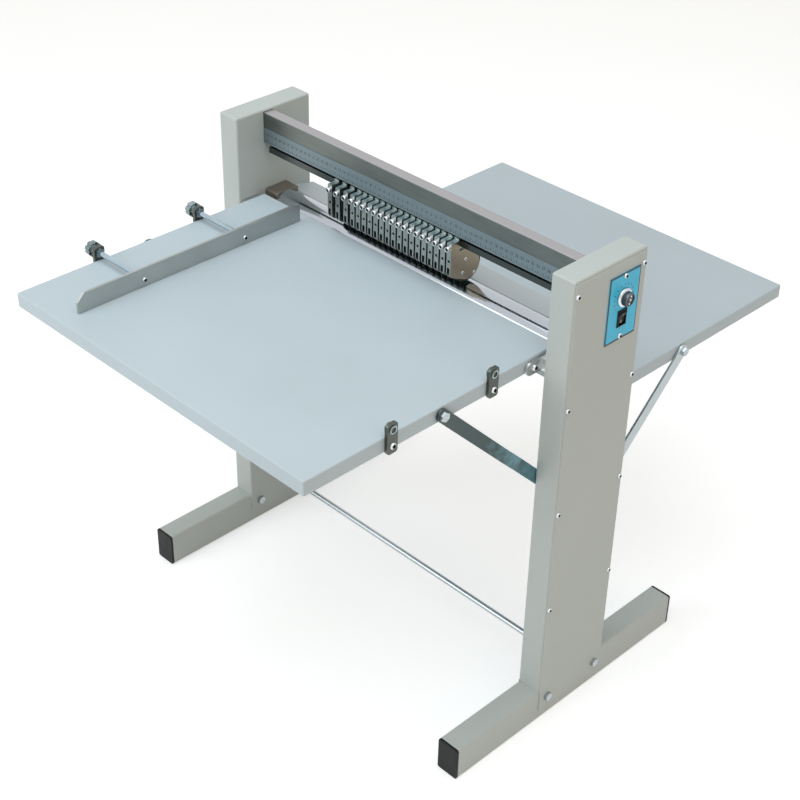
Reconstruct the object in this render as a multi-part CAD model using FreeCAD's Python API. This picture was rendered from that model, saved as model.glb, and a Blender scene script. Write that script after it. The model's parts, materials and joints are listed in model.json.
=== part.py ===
import FreeCAD, Part
import math
import os

from FreeCAD import Vector

# Paper creasing machine on two legs with T feet. All sizes are in millimetres.
# X runs along the crossbeam, Y from the feed side to the delivery side, Z up from the floor.
# The pieces are drawn about a working centre: x = 0 midway between the columns and y = 0
# on the drum's axis. write_parts moves them to the middle of the whole footprint.

# Columns
table_side_gap = 15.0
column_depth = 155.0
column_top = 806.0
sheet = 1.5
fold_radius = 3.0
flange_width = 14.0
inner_lap_bottom = 26.0
cover_sheet = 1.5
cover_reveal = 2.75
cover_top_reveal = 5.0
cover_bottom = 19.0
cover_screw_first = 229.6
cover_screw_top_drop = 23.8
cover_screw_rows = 4

# Feet
foot_width = 40.0
foot_height = 60.0
foot_length = 524.0
foot_wall = 2.5
foot_corner = 4.0
cap_flange = 4.0
cap_plug = 14.0
cap_clearance = 0.2
foot_bolt_reach = 57.0
foot_bolt_height = 42.0

# Tie rod between the columns
tie_radius = 5.0
tie_height = 73.0
tie_overhang = 14.0
tie_nut_flats = 17.0
tie_nut_height = 8.0

# Crossbeam, scale strip and head rail
beam_thickness = 20.0
beam_height = 52.0
beam_front = -21.0
beam_top_drop = 4.5
beam_insert = 30.0
beam_chamfer = 1.0
slot_clearance = 0.5
cleat_thickness = 4.0
cleat_leg = 28.0
strip_thickness = 1.0
strip_height = 26.0
strip_end_gap = 1.0
rail_half_length = 318.5
rail_height = 14.2
rail_head_height = 10.0
rail_neck_inset = 6.0
rail_screw_count = 6
rail_screw_margin = 40.0

# Drum and its bearings
drum_radius = 28.5
drum_end_gap = 1.0
shaft_radius = 10.0
running_clearance = 0.05
bush_wall = 4.0
block_width = 28.0
block_front = -22.5
block_back = 25.5
block_bottom_drop = 20.0
block_chamfer = 3.0
block_screw_inset = 6.0

# Creasing heads
head_count = 20
gang_first = 4
gang_last_centre = 104.6
head_pitch = 12.95
third_head_centre = -117.9
second_head_centre = -136.0
first_head_centre = -153.5
head_width = 9.6
plate_thickness = 3.0
wheel_radius = 28.0
wheel_width = 5.2
wheel_side_gap = 0.5
wheel_gap = 0.4
wheel_drop = 39.4
hub_radius = 8.0
plate_radius = 22.5
plate_lobe_radius = 9.6
plate_lobe_drop = 1.2
plate_back = 12.0
carriage_front = -39.0
carriage_rise = 8.2
window_top_drop = 32.0
window_height = 11.7
cheek_thickness = 1.6
front_hole_drop = 20.8
front_hole_radius = 2.4
front_hole_depth = 8.0
wheel_recess_gap = 0.8
rail_clearance = 0.3
hook_height = 3.2
hook_reach = 5.0
hook_root = 3.0
web_height = 9.5
plate_step_drop = 7.5
back_jaw = 6.5
lock_screw_rise = 0.7

# Tables
table_width = 630.0
table_length = 475.0
table_depth = 22.8
table_sheet = 1.5
table_lip = 13.5
table_fold = 2.0
feed_step = 1.0
feed_back = -36.5
delivery_step = 133.0
delivery_front = 73.0

# Delivery chute
chute_front = 26.2
chute_back = 83.0
chute_step = 12.2
chute_slope = 11.8
chute_sheet = 1.5
chute_lip = 13.0
chute_screw_shares = (0.3, 0.8)

# Brackets between the tables and the columns
bracket_thickness = 5.0
bracket_gap = 0.4
bracket_radius = 10.5
bracket_nose = 93.0
bracket_pivot = 86.0
bracket_pivot_drop = 15.5
bracket_tail = 42.0
bracket_pad = 72.0
bracket_rear_screw = 50.0
bracket_front_screw = 66.0

# Struts under the tables
strut_width = 20.0
strut_thickness = 4.0
strut_washer = 1.3
feed_strut_inset = 232.0
delivery_strut_inset = 204.7
strut_foot_inset = 27.5
strut_top_drop = 12.0
strut_angle = 45.0
strut_jog_start = 190.0
strut_jog_end = 212.0

# Lay guide on the feed table
guide_face = -203.0
guide_thickness = 4.0
guide_height = 31.0
guide_front = -481.0
guide_back = -58.0
guide_chamfer = 13.0
guide_round = 9.0
guide_lift = 0.3
guide_axis_rise = 11.5
guide_front_station = -363.0
guide_rear_station = -171.0
guide_rod_radius = 4.0
guide_rod_end = -341.0
guide_plate_thickness = 6.0
guide_plate_width = 19.0
guide_plate_drop = 26.5
guide_plate_screw_drop = 13.9
guide_bush_radius = 6.5
guide_bush_length = 10.5
guide_bush_inside = 3.0
guide_bush_flats = 14.0
nut_radius = 12.0
nut_collar_radius = 8.0
nut_collar = 4.0
nut_length = 14.0
nut_flutes = 8
nut_flute_radius = 1.6
nut_bore_clearance = 0.3
nut_seat_gap = 0.2

# Drive under the chute and inside the right column
motor_radius = 33.0
motor_length = 85.0
gearhead_length = 40.0
motor_back = 52.0
motor_drop = 45.0
motor_shaft_radius = 6.0
motor_shaft_socket = 16.0
pulley_radius = 18.0
pulley_flange_radius = 21.0
pulley_flange = 1.5
pulley_offset = 9.0
belt_width = 10.0
belt_thickness = 1.8
belt_gap = 0.3

# Controls on the right column
panel_width = 66.0
panel_height = 108.0
panel_thickness = 1.2
panel_corner = 4.0
panel_centre = 29.5
panel_drop = 68.5
panel_screw_inset = 5.6
knob_drop = 62.0
knob_radius = 14.5
knob_skirt = 3.0
knob_proud = 15.0
knob_cap_radius = 11.0
knob_cap_top_radius = 9.6
knob_face_gap = 0.6
knob_shaft_radius = 3.0
knob_hole_radius = 5.0
potentiometer_radius = 8.0
potentiometer_length = 5.5
controller_depth = 34.0
controller_reach = 27.0
controller_drop = 11.0
controller_rise = 44.0
rocker_drop = 33.0
rocker_width = 14.5
rocker_length = 22.0
rocker_gap = 0.3
rocker_pivot_depth = 3.2
rocker_tilt = 12.0
rocker_crown = 3.4
rocker_root = 4.0
rocker_pin_radius = 1.5
bezel_wall = 1.5
bezel_rim = 2.2
bezel_proud = 2.0
housing_depth = 20.0
housing_floor = 11.0
cutout_clearance = 0.2

# Cord entry in the right column
gland_height = 120.0
gland_radius = 9.0
gland_length = 14.0
gland_bore = 4.0

# Screws: each kind's head radius, head height and shank radius. Repeats stay light, so a
# screw's head has head_sides flat sides and its shank shank_sides.
dome_head = (4.2, 2.4, 2.4)
button_head = (5.2, 3.0, 2.9)
socket_head = (5.0, 6.0, 2.9)
lock_head = (4.5, 6.0, 2.5)
rail_head_screw = (5.0, 5.0, 2.4)
dome_length = 8.0
button_length = 10.0
socket_length = 16.0
rail_screw_length = 22.0
screw_hole_clearance = 0.2
head_sides = 8
shank_sides = 6
bolt_radius = 4.0
bolt_flats = 13.0
bolt_head_height = 5.5
bolt_nut_height = 6.5
bolt_clearance = 0.2

# Places worked out from the sizes above
inner_width = table_width + 2 * table_side_gap
half = inner_width / 2
cover_screw_span = column_top - cover_screw_top_drop - cover_screw_first
cover_screw_pitch = cover_screw_span / (cover_screw_rows - 1)
column_face = half + sheet + foot_width
cover_face = column_face + cover_sheet
wall_inside = half + sheet
half_depth = column_depth / 2
beam_back = beam_front + beam_thickness
beam_top = column_top - beam_top_drop
beam_bottom = beam_top - beam_height
rail_bottom = beam_bottom - rail_height
wheel_height = rail_bottom - wheel_drop
drum_top = wheel_height - wheel_radius - wheel_gap
drum_height = drum_top - drum_radius
carriage_top = rail_bottom + carriage_rise
window_top = rail_bottom - window_top_drop
front_hole_height = rail_bottom - front_hole_drop
lock_screw_height = rail_bottom + lock_screw_rise
feed_top = drum_top + feed_step
delivery_top = feed_top - delivery_step
chute_front_height = feed_top - chute_step
motor_height = drum_height - motor_drop
knob_height = column_top - knob_drop
rocker_height = knob_height - rocker_drop
panel_bottom = knob_height - panel_drop
guide_stations = (guide_front_station, guide_rear_station)
block_face = half - block_width
drum_end = block_face - drum_end_gap
bush_radius = shaft_radius + running_clearance + bush_wall
feed_front = feed_back - table_length
delivery_back = delivery_front + table_length
table_edge = table_width / 2
chute_fall = math.tan(math.radians(chute_slope))
strut_direction = math.radians(strut_angle)
strut_inner_face = table_edge + strut_washer
strut_column_face = half - strut_thickness
guide_axis_height = feed_top + guide_axis_rise
bracket_face = table_edge + bracket_gap + bracket_thickness
lobe_y = carriage_front + plate_lobe_radius
lobe_height = wheel_height - plate_lobe_drop
controller_bottom = knob_height - controller_drop
controller_top = knob_height + controller_rise
pulley_start = wall_inside + pulley_offset
pulley_length = belt_width + 2 * pulley_flange
panel_face = cover_face + panel_thickness
rocker_pivot = panel_face - rocker_pivot_depth
foot_bolt_face = cover_face + bolt_head_height
knob_face = panel_face + knob_proud
origin_x = (knob_face - foot_bolt_face) / 2
origin_y = (feed_front + delivery_back) / 2

X_AXIS = Vector(1, 0, 0)
Y_AXIS = Vector(0, 1, 0)
Z_AXIS = Vector(0, 0, 1)
CENTRE = Vector(0, 0, 0)
PAST = 1.0


# Plain shapes

def block(x0, x1, y0, y1, z0, z1):
    return Part.makeBox(x1 - x0, y1 - y0, z1 - z0, Vector(x0, y0, z0))


def rod_x(x0, x1, y, z, radius):
    return Part.makeCylinder(radius, x1 - x0, Vector(x0, y, z), X_AXIS)


def rod_y(y0, y1, x, z, radius):
    return Part.makeCylinder(radius, y1 - y0, Vector(x, y0, z), Y_AXIS)


def prism_x(points, x0, x1):
    """A polygon of (y, z) points, drawn out along X."""
    corners = [Vector(x0, y, z) for y, z in points]
    face = Part.Face(Part.makePolygon(corners + corners[:1]))
    return face.extrude(Vector(x1 - x0, 0, 0))


def prism_y(points, y0, y1):
    """A polygon of (x, z) points, drawn out along Y."""
    corners = [Vector(x, y0, z) for x, z in points]
    face = Part.Face(Part.makePolygon(corners + corners[:1]))
    return face.extrude(Vector(0, y1 - y0, 0))


def flat_bar(sides, radius, length, base, direction):
    """A bar with flat sides round its axis, from the point base along the direction."""
    points = []
    for step in range(sides + 1):
        turn = 2 * math.pi * step / sides
        points.append(Vector(radius * math.cos(turn), radius * math.sin(turn), 0))
    bar = Part.Face(Part.makePolygon(points)).extrude(Vector(0, 0, length))
    bar.Placement = FreeCAD.Placement(base, FreeCAD.Rotation(Z_AXIS, direction))
    return bar


def across_corners(half_flats, sides):
    """The corner radius of a flat-sided bar whose flats lie half_flats from its axis."""
    return half_flats / math.cos(math.pi / sides)


def hexagon(flats, height, base, direction):
    return flat_bar(6, across_corners(flats / 2, 6), height, base, direction)


def screw(base, outward, kind, length):
    """A screw whose head stands on base and whose shank runs the other way."""
    head_radius, head_height, shank_radius = kind
    head = flat_bar(head_sides, head_radius, head_height, base, outward)
    shank = flat_bar(shank_sides, shank_radius, length, base, outward.negative())
    return head.fuse(shank).removeSplitter()


def screw_hole(base, outward, kind, length):
    radius = across_corners(kind[2] + screw_hole_clearance, shank_sides)
    start = base + outward * PAST
    return flat_bar(shank_sides, radius, length + 2 * PAST, start, outward.negative())


def bolt_hole(x0, x1, y, z):
    radius = across_corners(bolt_radius + bolt_clearance, shank_sides)
    return flat_bar(shank_sides, radius, x1 - x0, Vector(x0, y, z), X_AXIS)


def edges_along(shape, axis):
    found = []
    for edge in shape.Edges:
        run = edge.Vertexes[-1].Point - edge.Vertexes[0].Point
        if run.Length > 0 and run.cross(axis).Length < 1e-6 * run.Length:
            found.append(edge)
    return found


def mirrored_x(shape):
    return shape.mirror(CENTRE, X_AXIS)


def mirrored_y(shape):
    return shape.mirror(CENTRE, Y_AXIS)


def both_sides(shapes):
    """The shapes of the right side, followed by their mirror images on the left."""
    return list(shapes) + [mirrored_x(shape) for shape in shapes]


def cut_all(shape, tools):
    return shape.cut(Part.makeCompound(tools)) if tools else shape


# Places of the fasteners, each as (point, outward direction)

def cover_screw_places():
    places = []
    for row in range(cover_screw_rows):
        height = cover_screw_first + row * cover_screw_pitch
        for side in (-1, 1):
            reach = side * (half_depth - flange_width / 2)
            places.append((Vector(cover_face, reach, height), X_AXIS))
    return places


def bearing_screw_places():
    places = []
    for y in (block_front + block_screw_inset, block_back - block_screw_inset):
        for z in (drum_height - block_bottom_drop, drum_top):
            inset = block_screw_inset if z < drum_height else -block_screw_inset
            places.append((Vector(wall_inside, y, z + inset), X_AXIS))
    return places


def gearhead_screw_places():
    places = []
    reach = (motor_radius + motor_shaft_radius) / 2
    for step in range(4):
        turn = math.radians(45 + 90 * step)
        y = motor_back + reach * math.cos(turn)
        z = motor_height + reach * math.sin(turn)
        places.append((Vector(wall_inside, y, z), X_AXIS))
    return places


def cleat_screw_places():
    front = beam_front - cleat_thickness
    x = wall_inside + (cleat_thickness + cleat_leg) / 2
    heights = (beam_bottom + beam_height / 4, beam_top - beam_height / 4)
    return [(Vector(x, front, z), Y_AXIS.negative()) for z in heights]


def bracket_wall_places(top, side):
    middle = top - bracket_pivot_drop
    return [(Vector(wall_inside, side * y, middle), X_AXIS)
            for y in (bracket_rear_screw, bracket_front_screw)]


def bracket_pivot_place(top, side):
    return Vector(bracket_face, side * bracket_pivot, top - bracket_pivot_drop)


def chute_screw_places():
    places = []
    for share in chute_screw_shares:
        y = chute_front + share * (chute_back - chute_front)
        z = chute_height(y) - chute_lip / 2 - chute_sheet
        places.append((Vector(half - chute_sheet, y, z), X_AXIS.negative()))
    return places


def guide_plate_screw_places():
    x = table_edge + guide_plate_thickness
    return [(Vector(x, y, feed_top - guide_plate_screw_drop), X_AXIS) for y in guide_stations]


def strut_top(side):
    """The upper bolt centre of a strut, as (y, z); side is -1 for feed, 1 for delivery."""
    if side < 0:
        return feed_back - feed_strut_inset, feed_top - strut_top_drop
    return delivery_front + delivery_strut_inset, delivery_top - strut_top_drop


def strut_run(side):
    """How far a strut runs along Y, from its upper bolt to its bolt in the column."""
    return abs(strut_top(side)[0]) - (half_depth - strut_foot_inset)


def strut_foot(side):
    y, z = strut_top(side)
    run = strut_run(side)
    return y - side * run, z - run * math.tan(strut_direction)


def chute_height(y):
    return chute_front_height - (y - chute_front) * chute_fall


# Columns, covers and feet

def column_body():
    """A folded sheet box, open at the bottom and behind the cover, for the right side."""
    shell = block(half, column_face, -half_depth, half_depth, foot_height, column_top)
    folds = edges_along(shell, Z_AXIS)
    for edge in edges_along(shell, X_AXIS) + edges_along(shell, Y_AXIS):
        if edge.CenterOfMass.z > foot_height + sheet:
            folds.append(edge)
    shell = shell.makeFillet(fold_radius, folds)
    inner = half_depth - sheet
    rim = half_depth - flange_width
    cavity = block(wall_inside, column_face - sheet, -inner, inner,
                   foot_height - PAST, column_top - sheet)
    opening = block(column_face - 2 * sheet, column_face + PAST, -rim, rim,
                    foot_height - PAST, column_top - flange_width)
    shell = shell.cut(cavity).cut(opening)
    lap = block(half, wall_inside, -half_depth, half_depth, inner_lap_bottom, foot_height)
    shell = shell.fuse(lap).removeSplitter()
    slot = block(half - PAST, wall_inside + PAST, beam_front - slot_clearance,
                 beam_back + slot_clearance, beam_bottom, beam_top + slot_clearance)
    tools = [slot, rod_x(half - PAST, wall_inside + PAST, 0, tie_height,
                         tie_radius + screw_hole_clearance)]
    for point, outward in cover_screw_places():
        tools.append(screw_hole(point, outward, dome_head, dome_length))
    for side in (-1, 1):
        top = feed_top if side < 0 else delivery_top
        for point, outward in bracket_wall_places(top, side):
            tools.append(screw_hole(point, outward, button_head, sheet))
        y, z = strut_foot(side)
        tools.append(bolt_hole(half - PAST, wall_inside + PAST, y, z))
        tools.append(foot_bolt_hole(side))
    for point, outward in bearing_screw_places():
        tools.append(screw_hole(point, outward, socket_head, sheet))
    for point, outward in chute_screw_places():
        tools.append(screw_hole(point, outward, button_head, button_length))
    return cut_all(shell, tools)


def foot_bolt_hole(side):
    return bolt_hole(half - PAST, cover_face + PAST, side * foot_bolt_reach, foot_bolt_height)


def right_column():
    column = column_body()
    tools = [rod_x(half - PAST, wall_inside + PAST, 0, drum_height, shaft_radius + bolt_clearance)]
    tools.append(rod_x(half - PAST, wall_inside + PAST, motor_back, motor_height,
                       motor_shaft_radius + bolt_clearance))
    for point, outward in gearhead_screw_places():
        tools.append(screw_hole(point, outward, socket_head, sheet))
    gland_x = (half + column_face) / 2
    tools.append(rod_y(half_depth - 2 * sheet, half_depth + PAST, gland_x, gland_height,
                       gland_radius - gland_bore + bolt_clearance + sheet))
    return cut_all(column, tools)


def side_cover():
    reach = half_depth - cover_reveal
    plate = block(column_face, cover_face, -reach, reach, cover_bottom,
                  column_top - cover_top_reveal)
    tools = [foot_bolt_hole(side) for side in (-1, 1)]
    for point, outward in cover_screw_places():
        tools.append(screw_hole(point, outward, dome_head, cover_sheet))
    return cut_all(plate, tools)


def housing_box(x0, x1, grow):
    reach_y = rocker_width / 2 + rocker_gap + bezel_wall + grow
    reach_z = rocker_length / 2 + rocker_gap + bezel_wall + grow
    return block(x0, x1, panel_centre - reach_y, panel_centre + reach_y,
                 rocker_height - reach_z, rocker_height + reach_z)


def panel_holes():
    tools = [rod_x(column_face - PAST, panel_face + PAST, panel_centre, knob_height,
                   knob_hole_radius)]
    tools.append(housing_box(column_face - PAST, panel_face + PAST, cutout_clearance))
    for point, outward in panel_screw_places():
        tools.append(screw_hole(point, outward, dome_head, panel_thickness + cover_sheet))
    return tools


def panel_screw_places():
    top = panel_bottom + panel_height - panel_screw_inset
    return [(Vector(panel_face, panel_centre, z), X_AXIS)
            for z in (panel_bottom + panel_screw_inset, top)]


def right_side_cover():
    return cut_all(side_cover(), panel_holes())


def foot():
    reach = foot_length / 2 - cap_flange
    tube = block(wall_inside, column_face, -reach, reach, 0, foot_height)
    tube = tube.makeFillet(foot_corner, edges_along(tube, Y_AXIS))
    bore = block(wall_inside + foot_wall, column_face - foot_wall, -reach - PAST, reach + PAST,
                 foot_wall, foot_height - foot_wall)
    bore = bore.makeFillet(foot_corner - foot_wall, edges_along(bore, Y_AXIS))
    return cut_all(tube.cut(bore), [foot_bolt_hole(side) for side in (-1, 1)])


def foot_cap():
    """The front end cap of the right foot: a flange as large as the tube, and a plug."""
    reach = foot_length / 2
    flange = block(wall_inside, column_face, -reach, -reach + cap_flange, 0, foot_height)
    flange = flange.makeFillet(foot_corner, edges_along(flange, Y_AXIS))
    inset = foot_wall + cap_clearance
    plug = block(wall_inside + inset, column_face - inset, -reach + cap_flange,
                 -reach + cap_flange + cap_plug, inset, foot_height - inset)
    plug = plug.makeFillet(foot_corner - foot_wall, edges_along(plug, Y_AXIS))
    return flange.fuse(plug)


def foot_bolts():
    """A bolt through cover, tube and column, with its nut on the column's inner face."""
    bolts = []
    length = cover_face - half + bolt_nut_height
    for side in (-1, 1):
        base = Vector(cover_face, side * foot_bolt_reach, foot_bolt_height)
        bolts.append(hex_bolt(base, X_AXIS, length))
        bolts.append(hex_nut(Vector(half, side * foot_bolt_reach, foot_bolt_height),
                             X_AXIS.negative()))
    return bolts


def hex_bolt(base, outward, length):
    head = hexagon(bolt_flats, bolt_head_height, base, outward)
    shank = flat_bar(shank_sides, bolt_radius, length, base, outward.negative())
    return head.fuse(shank)


def hex_nut(base, outward):
    nut = hexagon(bolt_flats, bolt_nut_height, base, outward)
    return nut.cut(flat_bar(shank_sides, bolt_radius, bolt_nut_height, base, outward))


def tie_rod():
    end = wall_inside + tie_overhang
    return rod_x(-end, end, 0, tie_height, tie_radius)


def tie_rod_nuts():
    nuts = []
    for x, outward in ((half, X_AXIS.negative()), (wall_inside, X_AXIS)):
        base = Vector(x, 0, tie_height)
        nut = hexagon(tie_nut_flats, tie_nut_height, base, outward)
        nuts.append(nut.cut(Part.makeCylinder(tie_radius, tie_nut_height, base, outward)))
    return nuts


def cord_gland():
    x = (half + column_face) / 2
    neck = gland_radius - gland_bore + sheet
    body = rod_y(half_depth, half_depth + gland_length, x, gland_height, gland_radius)
    body = body.fuse(rod_y(half_depth - gland_length / 2, half_depth, x, gland_height, neck))
    bore = rod_y(half_depth - gland_length, half_depth + gland_length + PAST, x, gland_height,
                 gland_bore)
    return body.cut(bore)


# Crossbeam, strip and rail

def crossbeam():
    end = half + beam_insert
    bar = block(-end, end, beam_front, beam_back, beam_bottom, beam_top)
    bar = bar.makeChamfer(beam_chamfer, edges_along(bar, X_AXIS))
    tools = []
    for point, outward in cleat_screw_places():
        hole = screw_hole(point, outward, socket_head, socket_length)
        tools.extend([hole, mirrored_x(hole)])
    for x in rail_screw_stations():
        start = Vector(x, rail_middle(), rail_bottom)
        tools.append(flat_bar(shank_sides, rail_head_screw[2], rail_screw_length + PAST,
                              start, Z_AXIS))
    return cut_all(bar, tools)


def beam_cleat():
    """An angle inside the column, welded to its inner wall, that the beam is screwed to."""
    front = beam_front - cleat_thickness
    z0 = beam_bottom + beam_chamfer
    z1 = beam_top - beam_chamfer
    along_beam = block(wall_inside, wall_inside + cleat_leg, front, beam_front, z0, z1)
    along_wall = block(wall_inside, wall_inside + cleat_thickness,
                       beam_front - cleat_leg, beam_front, z0, z1)
    tools = [screw_hole(point, outward, socket_head, cleat_thickness)
             for point, outward in cleat_screw_places()]
    return cut_all(along_beam.fuse(along_wall).removeSplitter(), tools)


def scale_strip():
    end = half - strip_end_gap
    return block(-end, end, beam_front - strip_thickness, beam_front,
                 beam_bottom, beam_bottom + strip_height)


def rail_middle():
    return (beam_front + beam_back) / 2


def rail_screw_stations():
    first = rail_half_length - rail_screw_margin
    step = 2 * first / (rail_screw_count - 1)
    return [-first + index * step for index in range(rail_screw_count)]


def head_rail():
    """A T-shaped rail: the heads grip its foot, and its neck is screwed under the beam."""
    shoulder = rail_bottom + rail_head_height
    section = [(beam_front, rail_bottom), (beam_back, rail_bottom), (beam_back, shoulder),
               (beam_back - rail_neck_inset, shoulder), (beam_back - rail_neck_inset, beam_bottom),
               (beam_front + rail_neck_inset, beam_bottom), (beam_front + rail_neck_inset, shoulder),
               (beam_front, shoulder)]
    rail = prism_x(section, -rail_half_length, rail_half_length)
    tools = []
    pocket = across_corners(rail_head_screw[0] + screw_hole_clearance, head_sides)
    for x in rail_screw_stations():
        start = Vector(x, rail_middle(), rail_bottom - PAST)
        tools.append(flat_bar(head_sides, pocket, rail_head_screw[1] + PAST + screw_hole_clearance,
                              start, Z_AXIS))
        tools.append(screw_hole(Vector(x, rail_middle(), rail_bottom), Z_AXIS.negative(),
                                rail_head_screw, rail_height))
    return cut_all(rail, tools)


def rail_screws():
    screws = []
    for x in rail_screw_stations():
        seat = Vector(x, rail_middle(), rail_bottom + rail_head_screw[1] + screw_hole_clearance)
        screws.append(screw(seat, Z_AXIS.negative(), rail_head_screw,
                            rail_screw_length - rail_head_screw[1]))
    return screws


# Drum, bearings and drive

def bearing_block():
    bottom = drum_height - block_bottom_drop
    body = block(block_face, half, block_front, block_back, bottom, drum_top)
    top_edges = [edge for edge in edges_along(body, X_AXIS)
                 if edge.CenterOfMass.z > drum_height]
    body = body.makeChamfer(block_chamfer, top_edges)
    tools = [rod_x(block_face - PAST, half + PAST, 0, drum_height, bush_radius)]
    for point, outward in bearing_screw_places():
        tools.append(screw_hole(point, outward, socket_head, socket_length))
    return cut_all(body, tools)


def bearing_bush():
    bush = rod_x(block_face, half, 0, drum_height, bush_radius)
    return bush.cut(rod_x(block_face - PAST, half + PAST, 0, drum_height,
                          shaft_radius + running_clearance))


def drum():
    """The drum with its shaft, which runs on through the right column to the pulley."""
    roller = rod_x(-drum_end, drum_end, 0, drum_height, drum_radius)
    shaft_end = pulley_start + pulley_length
    return roller.fuse(rod_x(-half, shaft_end, 0, drum_height, shaft_radius))


def pulley(y, z, bore):
    length = pulley_length
    wheel = rod_x(pulley_start, pulley_start + length, y, z, pulley_radius)
    return wheel.cut(rod_x(pulley_start - PAST, pulley_start + length + PAST, y, z, bore))


def motor_pulley():
    """The driving pulley, whose two flanges keep the belt on."""
    wheel = pulley(motor_back, motor_height, motor_shaft_radius)
    for x in (pulley_start, pulley_start + pulley_length - pulley_flange):
        flange = rod_x(x, x + pulley_flange, motor_back, motor_height, pulley_flange_radius)
        rim = rod_x(x, x + pulley_flange, motor_back, motor_height, pulley_radius)
        wheel = wheel.fuse(flange.cut(rim))
    return wheel.removeSplitter()


def drive_belt():
    """The belt's loop round both pulleys, which are the same size."""
    span = math.hypot(motor_back, motor_height - drum_height)
    lean = math.degrees(math.atan2(motor_height - drum_height, motor_back))
    inside = pulley_radius + belt_gap
    x0 = pulley_start + pulley_flange + belt_gap
    x1 = pulley_start + pulley_length - pulley_flange - belt_gap
    loop = belt_loop(x0, x1, span, inside + belt_thickness)
    loop = loop.cut(belt_loop(x0 - PAST, x1 + PAST, span, inside))
    loop.rotate(CENTRE, X_AXIS, lean)
    loop.translate(Vector(0, 0, drum_height))
    return loop


def belt_loop(x0, x1, span, radius):
    loop = block(x0, x1, 0, span, -radius, radius)
    loop = loop.fuse(rod_x(x0, x1, 0, 0, radius))
    return loop.fuse(rod_x(x0, x1, span, 0, radius)).removeSplitter()


def gear_motor():
    start = half - gearhead_length
    body = rod_x(start - motor_length, start, motor_back, motor_height, motor_radius)
    ends = [edge for edge in body.Edges if edge.CenterOfMass.x < start - motor_length + PAST
            and len(edge.Vertexes) == 1]
    return body.makeChamfer(2 * sheet, ends)


def gearhead():
    body = rod_x(half - gearhead_length, half, motor_back, motor_height, motor_radius)
    tools = [rod_x(half - motor_shaft_socket, half + PAST, motor_back, motor_height,
                   motor_shaft_radius + running_clearance)]
    for point, outward in gearhead_screw_places():
        tools.append(screw_hole(point, outward, socket_head, socket_length))
    return cut_all(body, tools)


def output_shaft():
    return rod_x(half - motor_shaft_socket, pulley_start + pulley_length, motor_back,
                 motor_height, motor_shaft_radius)


def socket_screws():
    places = bearing_screw_places() + cleat_screw_places()
    pairs = both_sides([screw(point, outward, socket_head, socket_length)
                        for point, outward in places])
    gearhead_screws = [screw(point, outward, socket_head, socket_length)
                       for point, outward in gearhead_screw_places()]
    return pairs + gearhead_screws


# Creasing heads

def head_centres():
    """The head centres along X, from left to right: three loose heads, then the close pack."""
    loose = [first_head_centre, second_head_centre, third_head_centre]
    pack = head_count - gang_first
    return loose + [gang_last_centre - head_pitch * (pack - index) for index in range(pack + 1)]


def tangent_angle(from_centre, from_radius, to_centre, to_radius):
    """The angle of the outward normal where one line touches both circles from below."""
    run = (to_centre[0] - from_centre[0], to_centre[1] - from_centre[1])
    lean = math.atan2(run[1], run[0])
    return lean - math.acos((from_radius - to_radius) / math.hypot(run[0], run[1]))


def on_circle(centre, radius, angle):
    return centre[0] + radius * math.cos(angle), centre[1] + radius * math.sin(angle)


def head_plate(centre):
    """The side plate that carries the wheel: a disc with a lobe and a neck up to the rail."""
    x0 = centre + head_width / 2 - plate_thickness
    lobe = (lobe_y, lobe_height)
    disc = (0.0, wheel_height)
    touch = tangent_angle(lobe, plate_lobe_radius, disc, plate_radius)
    step = rail_bottom - rail_clearance - plate_step_drop
    rise = math.atan2(step - disc[1], plate_back)
    rim = rise - math.acos(plate_radius / math.hypot(plate_back, step - disc[1]))
    corners = {
        "front": (carriage_front, carriage_top),
        "lobe_start": (carriage_front, lobe[1]),
        "lobe_middle": on_circle(lobe, plate_lobe_radius, (touch - math.pi) / 2),
        "lobe_end": on_circle(lobe, plate_lobe_radius, touch),
        "disc_start": on_circle(disc, plate_radius, touch),
        "disc_middle": on_circle(disc, plate_radius, (touch + rim) / 2),
        "disc_end": on_circle(disc, plate_radius, rim),
        "back": (plate_back, step),
        "step": (beam_front - rail_clearance, step),
        "top": (beam_front - rail_clearance, carriage_top),
    }
    at = {name: Vector(x0, y, z) for name, (y, z) in corners.items()}
    wire = Part.Wire([
        Part.LineSegment(at["front"], at["lobe_start"]).toShape(),
        Part.Arc(at["lobe_start"], at["lobe_middle"], at["lobe_end"]).toShape(),
        Part.LineSegment(at["lobe_end"], at["disc_start"]).toShape(),
        Part.Arc(at["disc_start"], at["disc_middle"], at["disc_end"]).toShape(),
        Part.LineSegment(at["disc_end"], at["back"]).toShape(),
        Part.LineSegment(at["back"], at["step"]).toShape(),
        Part.LineSegment(at["step"], at["top"]).toShape(),
        Part.LineSegment(at["top"], at["front"]).toShape(),
    ])
    return Part.Face(wire).extrude(Vector(plate_thickness, 0, 0))


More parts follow.
